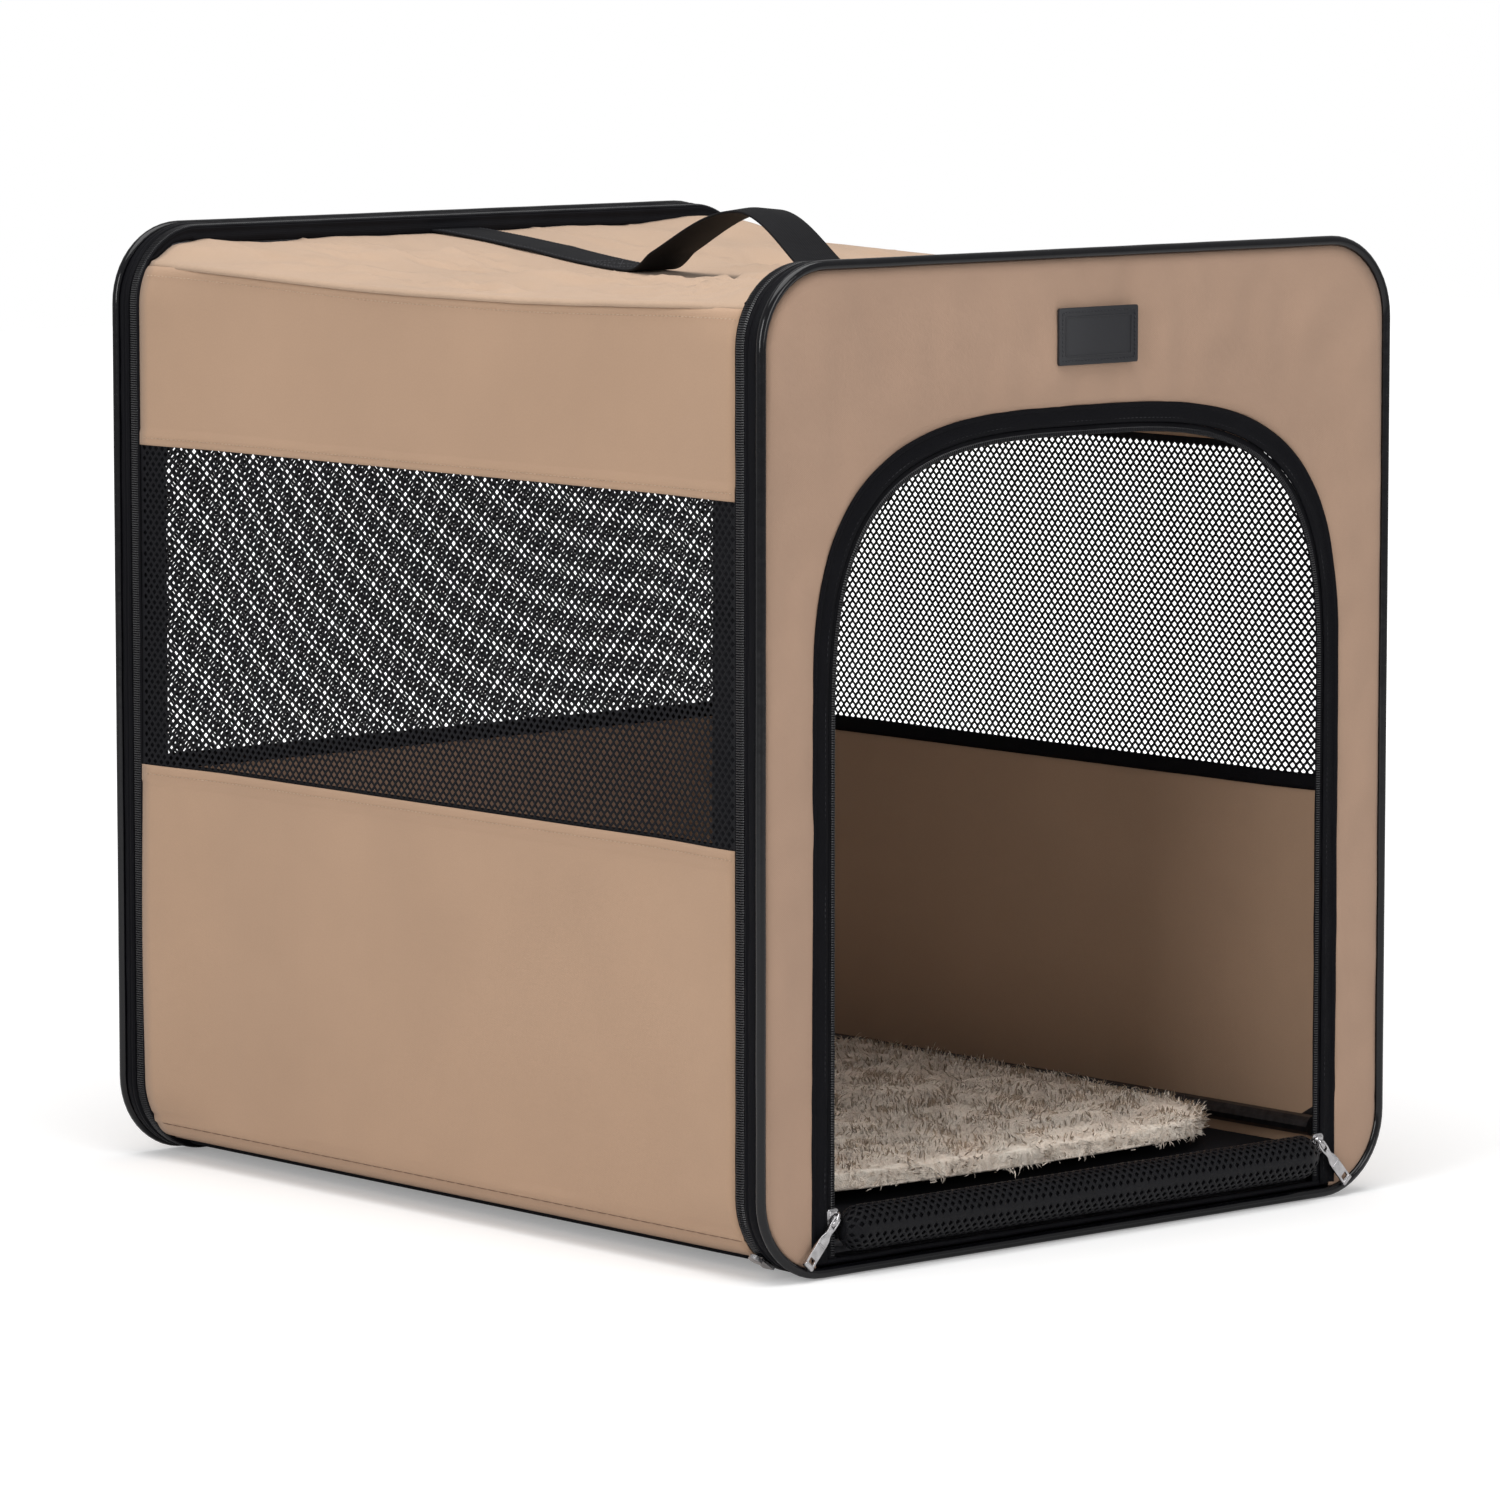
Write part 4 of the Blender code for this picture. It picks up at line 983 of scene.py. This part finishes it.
def build_side(side, sign):
    def lower(s, t):
        y = (2 * s - 1) * CLOTH_END
        straight = WINDOW_BOTTOM - WALL_BOTTOM
        bend = WALL_CURL * math.pi / 2
        tuck = WALL - WALL_CURL - PAD_REACH - 0.0003
        total = straight + bend + tuck
        run = total * t
        if run <= straight:
            z = WINDOW_BOTTOM - run
            hem = 0.0006 * smoothstep((z - (WINDOW_BOTTOM - 0.0105)) / 0.001)
            x = wall_at(y, z) - 0.0010 + hem + side_bulge(y, z, sign)
        elif run <= straight + bend:
            turn = (run - straight) / WALL_CURL
            tuck_in = 0.0012 * smoothstep((turn - 0.34) / 0.03)
            x = WALL - WALL_CURL + (WALL_CURL - 0.0010 - tuck_in) * math.cos(turn)
            z = WALL_BOTTOM - (WALL_CURL - 0.0004 - tuck_in) * math.sin(turn)
        else:
            x = WALL - WALL_CURL - (run - straight - bend)
            z = WALL_BOTTOM - WALL_CURL + 0.0004
        return (sign * x, y, z), (sign * y, WINDOW_BOTTOM - run)

    panel = stretched_cloth(f"{side}_side_cloth_lower", (64, 110), lower, tan_side, (sign, 0, 0),
                            f"{side}_wall_lower")
    crumple(panel)

    def upper(s, t):
        y = (2 * s - 1) * CLOTH_END
        z = WINDOW_TOP + (seam_height(y) - 0.0042 - WINDOW_TOP) * min(t / 0.94, 1.0)
        x = wall_at(y, z) - 0.0008 + side_bulge(y, z, sign) * (1 - max((t - 0.8) / 0.2, 0.0))
        if t > 0.94:
            x -= 0.0100 * (t - 0.94) / 0.06
            z += 0.0014
        hem = 0.0006 * smoothstep((WINDOW_TOP + 0.0085 - z) / 0.001)
        return (sign * (x + hem), y, z), (sign * y, z)

    panel = stretched_cloth(f"{side}_side_cloth_upper", (64, 60), upper, tan_side, (sign, 0, 0),
                            f"{side}_wall_upper")
    crumple(panel)

    def window(u, v):
        return (sign * (wall_at(u, v) - 0.0012 + side_bulge(u, v, sign)), u, v)
    mesh = net(f"{side}_window_net", (-CLOTH_END, WINDOW_BOTTOM - 0.004), (CLOTH_END, WINDOW_TOP + 0.004),
               window, net_thread, Vector((sign, 0, 0)))
    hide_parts(f"{side}_window")
    crumple(mesh)

    ends = [(sign * (WALL - 0.0030), y, WINDOW_BOTTOM) for y in (-CLOTH_END + 0.001, CLOTH_END - 0.001)]
    tape = inner_tape(f"{side}_window_tape", ends, (-sign, 0, 0),
                      lambda y, z: sign * (wall_at(y, z) - WALL + side_bulge(y, z, sign)))
    crumple(tape)
    for end, way in (("front", -1), ("rear", 1)):
        def strip(s, t, way=way):
            y = way * (CLOTH_END - 0.0004 - EDGING_WIDTH * s)
            z = WINDOW_BOTTOM - 0.003 + (WINDOW_TOP - WINDOW_BOTTOM + 0.006) * t
            lift = 0.0024 + 0.0004 * smooth_noise(y, sign, z, 30.0)
            return (sign * (wall_at(y, z) - lift + side_bulge(y, z, sign)), y, z), (EDGING_WIDTH * s, z)
        edging = patch(f"{side}_{end}_edging", 4, 50, strip, black_tape, 0.0005)
        crumple(edging)
    # The hem's seam: a dark line of long stitches, painted shade of the seam's groove
    reach = WALL_CURL - 0.0012
    hem_x, hem_z = sign * (WALL - WALL_CURL + reach * math.cos(0.36)), WALL_BOTTOM - reach * math.sin(0.36)
    hem = [(hem_x, y, hem_z) for y in np.linspace(-CLOTH_END + 0.002, CLOTH_END - 0.002, 60)]
    hem_painted_shade_line = thread_line(f"{side}_hem_seam_painted_shade", hem, (sign, 0, -0.4), seam_painted_shade, 0.0100, 0.97, 0.00035)
    crumple(hem_painted_shade_line)
    rows = (("sill", WINDOW_BOTTOM - 0.0055), ("head", WINDOW_TOP + 0.0045), ("shoulder", WALL_TOP - 0.0085))
    for name, z in rows:
        line = []
        for y in np.linspace(-CLOTH_END + 0.002, CLOTH_END - 0.002, 90):
            height = z + seam_height(y) - WALL_TOP if name == "shoulder" else z
            line.append((sign * (wall_at(y, height) + 0.0001 + side_bulge(y, height, sign)), y, height))
        stitches = thread_line(f"{side}_{name}_stitching", line, (sign, 0, 0), tan_thread,
                               0.0036, 0.66, 0.00026)
        crumple(stitches)


def stretched_cloth(name, grid, place, material, facing, node):
    """A taut tan panel in place of a node."""
    obj = patch(name, *grid, place, material, 0.0)
    orient(obj, facing)
    thicken(obj, CLOTH_THICKNESS)
    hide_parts(node)
    return obj


def orient(obj, direction):
    """Turns the faces of an open sheet so that they look along a direction, on the whole."""
    total = Vector((0, 0, 0))
    for face in obj.data.polygons:
        total += face.normal * face.area
    if total.dot(Vector(direction)) < 0:
        obj.data.flip_normals()


# Top and handle
def build_top():
    def place(s, t):
        y = (2 * t - 1) * CLOTH_END
        edge = 0.0032
        flat = wall_at(y, seam_height(y)) - edge
        run = (2 * s - 1) * (flat + edge * math.pi / 2)
        if abs(run) <= flat:
            return (run, y, top_height(run, y) - 0.0004), (run, y)
        turn = (abs(run) - flat) / edge
        side = 1 if run > 0 else -1
        z = top_height(side * flat, y) - 0.0004 - edge * (1 - math.cos(turn))
        return (side * (flat + edge * math.sin(turn)), y, z), (run, y)
    cover = stretched_cloth("top_cloth", (120, 90), place, tan_top_painted_light, (0, 0, 1), "top_panel")
    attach(cover, "top")


def strap_height(y):
    """The strap's underside, above the top's plane."""
    if LOOP_FRONT < y < LOOP_REAR:
        reach = LOOP_REAR - LOOP_CREST if y > LOOP_CREST else LOOP_CREST - LOOP_FRONT
        return LOOP_RISE * (0.5 + 0.5 * math.cos(math.pi * (y - LOOP_CREST) / reach)) ** 0.8
    return 0.0


def build_handle():
    """Doubled webbing sewn along the top, with a standing loop to carry it by."""
    ys = list(np.linspace(-CLOTH_END, LOOP_FRONT, 60)) + list(np.linspace(LOOP_FRONT, LOOP_REAR, 90))[1:]
    ys += list(np.linspace(LOOP_REAR, CLOTH_END, 60))[1:]
    line = []
    for y in ys:
        rise = strap_height(y)
        flat = top_height(0.0, y) + 0.0004
        line.append(Vector((0.0, y, flat + (WALL_TOP + 0.0007 + rise - flat) * smoothstep(rise / 0.010))))
    half = STRAP_WIDTH / 2
    section = [(-1.0, 0.0003), (-0.97, 0.0), (0.97, 0.0), (1.0, 0.0003), (1.0, 0.0013), (0.97, 0.0016),
               (0.0, 0.0017), (-0.97, 0.0016), (-1.0, 0.0013)]
    verts, uvs = [], []
    travel = 0.0
    for n, point in enumerate(line):
        before, after = line[max(n - 1, 0)], line[min(n + 1, len(line) - 1)]
        run = (after - before).normalized()
        up = Vector((0, -run.z, run.y))
        if n:
            travel += (point - line[n - 1]).length
        rise = strap_height(point.y) / LOOP_RISE
        twist = 0.05 * rise * math.sin(point.y * 21)
        narrow = 1 - 0.03 * rise
        for across, thick in section:
            x = across * half * narrow
            cup = 0.0016 * rise * (1 - across ** 2)
            lift = up * (thick + cup) + Vector((0, 0, x * twist))
            verts.append(Vector((x + 0.0012 * rise, 0, 0)) + point + lift)
            uvs.append((x, travel))
    obj = piece("handle_webbing", verts, tube_faces(len(section), len(line), True), uvs, strap_web)
    close_seam(obj)
    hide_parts("handle_strap")
    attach(obj, "top")
    for name, ends in (("rear", (LOOP_REAR + 0.003, CLOTH_END - 0.003)),
                       ("front", (-CLOTH_END + 0.003, LOOP_FRONT - 0.003))):
        for hand, side in (("left", -1), ("right", 1)):
            x = side * (half - 0.0024)
            pts = [(x, y, top_height(0.0, y) + 0.0021) for y in np.linspace(*ends, 60)]
            stitches = thread_line(f"strap_stitching_{name}_{hand}", pts, (0, 0, 1), black_thread, 0.0034)
            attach(stitches, "top")
        foot = ends[0] if name == "rear" else ends[1]
        way = 1 if name == "rear" else -1
        box_end = foot + way * 0.030
        x = half - 0.0048
        loop = [(-x, foot), (x, foot), (x, box_end), (-x, box_end), (-x, foot), (x, box_end)]
        cross = [(x, foot), (-x, box_end)]
        for tag, route in (("box", loop), ("cross", cross)):
            pts = []
            for a, b in zip(route, route[1:]):
                for k in range(12):
                    s = k / 12
                    px, py = a[0] + (b[0] - a[0]) * s, a[1] + (b[1] - a[1]) * s
                    pts.append((px, py, top_height(0.0, py) + 0.0022))
            px, py = route[-1]
            pts.append((px, py, top_height(0.0, py) + 0.0022))
            stitches = thread_line(f"strap_{tag}_stitch_{name}", pts, (0, 0, 1), black_thread, 0.0030)
            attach(stitches, "top")


# Floor, mat and rolled door
def build_floor():
    shape = bmesh.new()
    bmesh.ops.create_cube(shape, size=1.0)
    for vert in shape.verts:
        x, y, z = vert.co
        height = PAD_UNDER + (z + 0.5) * (PAD_TOP - 0.0004 - PAD_UNDER)
        vert.co = Vector((x * 2 * (PAD_REACH - 0.0004), y * 2 * (CLOTH_END - 0.0004), height))
    bmesh.ops.subdivide_edges(shape, edges=shape.edges, cuts=5, use_grid_fill=True)
    shape.normal_update()
    rim = [e for e in shape.edges if e.link_faces[0].normal.dot(e.link_faces[1].normal) < 0.5]
    bmesh.ops.bevel(shape, geom=rim, offset=0.004, segments=4, affect="EDGES", profile=0.5)
    mesh = bpy.data.meshes.new("floor_cushion")
    shape.to_mesh(mesh)
    shape.free()
    layer = mesh.uv_layers.new(name="metres")
    for loop in mesh.loops:
        co = mesh.vertices[loop.vertex_index].co
        layer.data[loop.index].uv = (co.x + co.z, co.y)
    mesh.polygons.foreach_set("use_smooth", [True] * len(mesh.polygons))
    mesh.materials.append(black_cloth)
    obj = linked("floor_cushion", mesh)
    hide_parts("floor_pad")
    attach(obj, "base")


def build_mat():
    """The fleece mat: a crowned pad with drawn-in sides, then a deep tufted pile."""
    low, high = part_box("fleece_mat")
    mid = [(a + b) / 2 for a, b in zip(low, high)]
    reach = [(b - a) / 2 - 0.003 for a, b in zip(low, high)]
    shape = bmesh.new()
    bmesh.ops.create_cube(shape, size=2.0)
    bmesh.ops.subdivide_edges(shape, edges=shape.edges, cuts=3, use_grid_fill=True)
    for vert in shape.verts:
        x, y, z = vert.co
        drawn = 0.012 * (x * y) ** 2
        thick = reach[2] * (1 - 0.25 * max(abs(x), abs(y)) ** 6)
        scaled = (x * (reach[0] - drawn), y * (reach[1] - drawn), z * thick)
        vert.co = Vector([m + s for m, s in zip(mid, scaled)])
    mesh = bpy.data.meshes.new("fleece_pad")
    shape.to_mesh(mesh)
    shape.free()
    obj = linked("fleece_pad", mesh)
    smooth = obj.modifiers.new("smooth", "SUBSURF")
    smooth.levels = smooth.render_levels = 4
    bake(obj)
    mesh = obj.data
    floor = PAD_TOP + 0.0004
    spots, aims, sizes = [], [], []
    places = []
    for v, n in [(vert.co.copy(), vert.normal.copy()) for vert in mesh.vertices]:
        if n.z > -0.5:
            v += n * (noise.noise(v * 120) * 0.0014 + noise.noise(v * 40) * 0.0018)
        places += [v.x, v.y, max(v.z, floor)]
    mesh.vertices.foreach_set("co", places)
    mesh.update()
    for face in mesh.polygons:
        if face.normal.z > -0.3:
            spots.append(face.center[:])
            aims.append(face.normal[:])
            sizes.append(face.area)
    dice = np.random.default_rng(7)
    picks = dice.choice(len(spots), BLADES, p=np.array(sizes) / sum(sizes))
    aims = np.array(aims)[picks]
    root = np.array(spots)[picks] + dice.normal(0, 0.0013, (BLADES, 3)) - aims * 0.0006
    # noise_vector differs from run to run, so each direction reads plain noise at a place of its own
    shifts = [Vector((9.3, -1.5, -8.0)), Vector((-4.1, 6.2, 2.7)), Vector((1.9, 3.4, -5.6))]
    drift = np.array([[noise.noise(Vector(p) * 55 + shift) for shift in shifts] for p in root])
    lean = aims * 0.75 + dice.normal(0, 0.24, (BLADES, 3)) + drift * 1.9
    lean /= np.linalg.norm(lean, axis=1)[:, None]
    length = dice.uniform(0.0034, 0.0062, (BLADES, 1))
    across = np.cross(lean, aims + dice.normal(0, 0.3, (BLADES, 3)))
    across /= np.linalg.norm(across, axis=1)[:, None]
    droop = lean - aims * 0.45
    bend = root + lean * length * 0.6
    points = np.stack([root - across * 0.00040, root + across * 0.00040, bend + across * 0.00032,
                       bend - across * 0.00032, bend + droop * length * 0.42], axis=1)
    points[:, :, 2] = np.maximum(points[:, :, 2], floor)
    points = points.reshape(-1, 3)
    faces = []
    for n in range(0, 5 * BLADES, 5):
        faces.append((n, n + 1, n + 2, n + 3))
        faces.append((n + 3, n + 2, n + 4))
    pile = piece("fleece_pile", points.tolist(), faces, points[:, :2], fleece)
    soft = aims + 0.35 * lean
    soft /= np.linalg.norm(soft, axis=1)[:, None]
    pile.data.normals_split_custom_set_from_vertices(np.repeat(soft, 5, axis=0).tolist())
    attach(pile, "base")
    mesh.polygons.foreach_set("use_smooth", [True] * len(mesh.polygons))
    mesh.update()
    mesh.materials.clear()
    mesh.materials.append(fleece)
    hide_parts("fleece_mat")
    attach(obj, "base")


def build_roll():
    """The net door, rolled down on the sill: a net outer turn over the turns inside."""
    low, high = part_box("door_roll")
    cy, cz = (low[1] + high[1]) / 2, (low[2] + high[2]) / 2
    ry, rz = (high[1] - low[1]) / 2, (high[2] - low[2]) / 2
    half = high[0]

    def shape_at(x):
        """The roll swells a little unevenly along its length, and closes at its ends."""
        past = max(1 - (half - abs(x)) / 0.013, 0.0)
        return (1 - 0.52 * past ** 2) * (0.985 + 0.030 * smooth_noise(x, 1.0, 2.0, 18.0))

    girth = math.pi * (3 * (ry + rz) - math.sqrt((3 * ry + rz) * (ry + 3 * rz)))

    def place(u, v):
        turn = 2 * math.pi * v / girth
        k = shape_at(u)
        return (u, cy - ry * k * math.cos(turn), cz + rz * k * math.sin(turn))

    rows = round(girth / NET_ROW / 2) * 2
    skin = net("door_roll_net", (-half, 0.0), (half, girth), place, roll_thread, Vector((0, 0, 0)),
               NET_STEP, girth / rows, 0.58)
    close_seam(skin)
    solid = skin.modifiers.new("thickness", "SOLIDIFY")
    solid.thickness = 0.0007
    solid.offset = -1
    bake(skin)
    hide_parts("door_roll")
    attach(skin, "front_lower")

    verts, uvs = [], []
    sides, slices = 32, 60
    for n in range(slices + 1):
        x = -half + 0.0006 + (2 * half - 0.0012) * n / slices
        k = shape_at(x) * (1 - 0.13) * (0.86 if n in (0, slices) else 1.0)
        for m in range(sides):
            turn = 2 * math.pi * m / sides
            verts.append((x, cy - ry * k * math.cos(turn), cz + rz * k * math.sin(turn)))
            uvs.append((turn * 0.012, x))
    core = piece("door_roll_turns", verts, tube_faces(sides, slices + 1, True), uvs, black_cloth)
    close_seam(core)
    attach(core, "front_lower")


def filled(name, loops, thickness, edge):
    """A flat piece with bevelled edges from closed outlines in local X and Z, holes included."""
    curve = bpy.data.curves.new(name, "CURVE")
    curve.dimensions = "2D"
    curve.fill_mode = "BOTH"
    curve.extrude = thickness / 2 - edge
    curve.bevel_depth = edge
    curve.bevel_resolution = 1
    curve.offset = -edge
    for loop in loops:
        spline = curve.splines.new("POLY")
        spline.points.add(len(loop) - 1)
        for point, (x, z) in zip(spline.points, loop):
            point.co = (x, z, 0, 1)
        spline.use_cyclic_u = True
    obj = linked(name, curve)
    bpy.context.view_layer.update()
    mesh = bpy.data.meshes.new_from_object(obj.evaluated_get(bpy.context.evaluated_depsgraph_get()))
    mesh.transform(Matrix.Rotation(math.pi / 2, 4, "X"))
    bpy.data.objects.remove(obj)
    return mesh


def rounded(x1, z1, x2, z2, radius, steps=5):
    """A rounded rectangle's outline."""
    points = []
    left, right, low, high = x1 + radius, x2 - radius, z1 + radius, z2 - radius
    for cx, cz, start in ((right, high, 0), (left, high, 90), (left, low, 180), (right, low, 270)):
        for n in range(steps + 1):
            t = math.radians(start + 90 * n / steps)
            points.append((cx + radius * math.cos(t), cz + radius * math.sin(t)))
    return points


def bent_bar(points, wide, thick, sides=10):
    """Vertices and faces of a bar with an oval section along points in the plane x = 0."""
    verts = []
    for n, point in enumerate(points):
        before, after = points[max(n - 1, 0)], points[min(n + 1, len(points) - 1)]
        run = (Vector(after) - Vector(before)).normalized()
        out = run.cross(Vector((1, 0, 0)))
        for k in range(sides):
            t = 2 * math.pi * k / sides
            aside = Vector((1, 0, 0)) * wide / 2 * math.cos(t)
            verts.append(Vector(point) + aside + out * thick / 2 * math.sin(t))
    return verts, tube_faces(sides, len(points), True)


def cast_piece(name, shapes, finish, node, body):
    """One object from several meshes that stands for a node of the frame."""
    whole = bmesh.new()
    for shape in shapes:
        whole.from_mesh(shape)
    bmesh.ops.remove_doubles(whole, verts=whole.verts, dist=0.000005)
    bmesh.ops.recalc_face_normals(whole, faces=whole.faces)
    mesh = bpy.data.meshes.new(name)
    whole.to_mesh(mesh)
    whole.free()
    mesh.materials.clear()
    mesh.materials.append(finish)
    mesh.polygons.foreach_set("material_index", [0] * len(mesh.polygons))
    for face in mesh.polygons:
        face.use_smooth = True
    mesh.set_sharp_from_angle(angle=math.radians(35))
    obj = linked(name, mesh)
    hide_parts(node)
    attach(obj, body)
    return obj


def plain_mesh(name, verts, faces):
    mesh = bpy.data.meshes.new(name)
    mesh.from_pydata([tuple(v) for v in verts], [], faces)
    return mesh


def build_sliders():
    """Cast sliders on the doorway's zips: a lozenge body, the bail over it, and a long flat pull."""
    for side, sign in (("left", -1), ("right", 1)):
        spot = Vector((sign * SLIDER_X, -SLIDER_AXLE, SLIDER_Z))
        turn = Matrix.Rotation(-sign * math.radians(PULL_TURN), 4, "Y")
        to_spot = Matrix.Translation(spot)
        outline_points = rounded(-0.0045, -0.0064, 0.0045, 0.0064, 0.0026)
        outline_points = [(x * (1 - 0.14 * max(-z / 0.0064, 0.0)), z) for x, z in outline_points]
        wing = filled("wing", [outline_points], 0.0018, 0.0005)
        wing.transform(Matrix.Translation((0, 0.0036, 0)))
        rim = filled("rim", [rounded(-0.0036, -0.0046, 0.0036, 0.0050, 0.0018)], 0.0012, 0.0004)
        rim.transform(Matrix.Translation((0, 0.0026, 0)))
        turns = [math.pi * n / 14 for n in range(15)]
        arc_points = [(0, 0.0024 - 0.0034 * math.sin(t), 0.0050 * math.cos(t)) for t in turns]
        bail = plain_mesh("bail", *bent_bar(arc_points, 0.0026, 0.0012))
        bail.transform(turn)
        for part in (wing, rim, bail):
            part.transform(to_spot)
        node = f"door_slider_{side}"
        cast_piece(f"{side}_slider_cast", [wing, rim, bail], gunmetal, node, node)

        wide = 0.0037
        half = [(0.0010, 0.0026), (0.0024, 0.0016), (0.0028, 0.0), (0.0027, -0.0050), (0.0021, -0.0080),
                (0.0022, -0.0100), (0.0034, -0.0130), (wide, -0.0160), (wide, -PULL_LENGTH + 0.0012),
                (wide - 0.0010, -PULL_LENGTH)]
        outline_points = [half[0]] + [(-x, z) for x, z in half] + half[:0:-1]
        eye = rounded(-0.0015, -0.0056, 0.0015, 0.0012, 0.0013)
        slot = rounded(-0.0021, -PULL_LENGTH + 0.0030, 0.0021, -PULL_LENGTH + 0.0062, 0.0006)
        tab = filled("tab", [outline_points, eye, slot], 0.0016, 0.0003)
        foot = rounded(-wide - 0.0002, -PULL_LENGTH - 0.0003, wide + 0.0002, -PULL_LENGTH + 0.0026, 0.0009)
        bar = filled("bar", [foot], 0.0028, 0.0006)
        rib = rounded(-wide + 0.0006, -0.0185, wide - 0.0006, -0.0172, 0.0005)
        ridge = filled("ridge", [rib], 0.0023, 0.0003)
        for part in (tab, bar, ridge):
            part.transform(turn)
            part.transform(to_spot)
        node = f"door_pull_{side}"
        cast_piece(f"{side}_pull_cast", [tab, bar, ridge], gunmetal, node, node)


def dress_nodes():
    """Steel, elbows and zip sliders keep their solids and get real finishes; elbows and sliders also get
    rounded edges.
    """
    finishes = {"frame_steel": tube_paint, "elbow_plastic": elbow_nylon, "slider_metal": gunmetal}
    for part in frame["record"]["subparts"]:
        obj = frame["nodes"][part["node"]]
        finish = finishes.get(part["material_slot"])
        if finish is None or obj.hide_render:
            continue
        for slot in obj.material_slots:
            slot.material = finish
        if part["material_slot"] != "frame_steel":
            edge = obj.modifiers.new("edge", "BEVEL")
            edge.width = 0.0003
            edge.segments = 2
            edge.limit_method = "ANGLE"
            edge.angle_limit = math.radians(40)


def light(name, place, aim, size, power):
    lamp = bpy.data.lights.new(name, "AREA")
    lamp.shape = "RECTANGLE"
    lamp.size, lamp.size_y = size
    lamp.energy = power
    obj = linked(name, lamp)
    obj.location = place
    obj.rotation_euler = (Vector(aim) - Vector(place)).to_track_quat("-Z", "Y").to_euler()


def is_seen(tree):
    """1 for the camera's rays, straight or through glass, and 0 for the light on the object."""
    rays = tree.nodes.new("ShaderNodeLightPath")
    return maths(tree, "MAXIMUM", rays.outputs["Is Camera Ray"], rays.outputs["Is Transmission Ray"])


def shown_white(tree, plain, strength):
    """Adds plain white for what the camera sees, and leaves the light on the object as it is."""
    glow = tree.nodes.new("ShaderNodeEmission")
    tree.links.new(maths(tree, "MULTIPLY", is_seen(tree), strength), glow.inputs["Strength"])
    both = tree.nodes.new("ShaderNodeAddShader")
    tree.links.new(plain, both.inputs[0])
    tree.links.new(glow.outputs[0], both.inputs[1])
    return both.outputs[0]


def build_stage():
    bpy.ops.mesh.primitive_plane_add(size=14.0, location=(0, 0, -0.0002))
    floor = bpy.context.object
    floor.name = "studio_floor"
    made, tree, shader = nodes_of("pale_floor")
    settle(shader, Base_Color=(0.82, 0.82, 0.82, 1), Roughness=0.9, Specular_IOR_Level=0.0)
    output = next(n for n in tree.nodes if n.type == "OUTPUT_MATERIAL")
    away = tree.nodes.new("ShaderNodeVectorMath")
    away.operation = "LENGTH"
    tree.links.new(objects(tree, 1.0), away.inputs[0])
    level = add(tree, "ShaderNodeMapRange", From_Min=0.6, From_Max=2.6, To_Min=0.27, To_Max=0.85)
    tree.links.new(away.outputs["Value"], level.inputs["Value"])
    tree.links.new(shown_white(tree, shader.outputs[0], level.outputs["Result"]), output.inputs["Surface"])
    floor.data.materials.append(made)

    world = bpy.data.worlds.new("studio")
    bpy.context.scene.world = world
    world.use_nodes = True
    tree = world.node_tree
    tree.nodes.clear()
    back = add(tree, "ShaderNodeBackground", Color=(1, 1, 1, 1))
    shown = maths(tree, "MULTIPLY", is_seen(tree), 0.58)
    tree.links.new(maths(tree, "ADD", shown, 0.42), back.inputs["Strength"])
    output = tree.nodes.new("ShaderNodeOutputWorld")
    tree.links.new(back.outputs[0], output.inputs["Surface"])

    light("overhead", (-0.3, -0.3, 2.6), (0, 0, 0.3), (2.4, 2.4), 58)
    light("key_left", (-2.8, -1.0, 1.3), (0, 0, 0.3), (0.9, 1.5), 29)
    light("front_fill", (0.6, -3.2, 1.2), (0, 0, 0.3), (1.0, 1.4), 18)


def build_camera():
    lens = bpy.data.cameras.new("camera")
    lens.sensor_width = 36.0
    lens.lens = CAMERA_LENS
    camera = linked("camera", lens)
    camera.location = CAMERA_PLACE
    camera.rotation_euler = (math.radians(90 - CAMERA_PITCH), 0, math.radians(-CAMERA_AZIMUTH))
    bpy.context.scene.camera = camera


bpy.context.scene.view_settings.view_transform = "Standard"
build_camera()
build_stage()
for end in ("front", "rear"):
    build_cover(end)
front_panel()
doorway()
label()
rear_cover()
for side, sign in (("left", -1), ("right", 1)):
    build_side(side, sign)
build_top()
build_handle()
build_floor()
build_mat()
build_roll()
build_sliders()
dress_nodes()
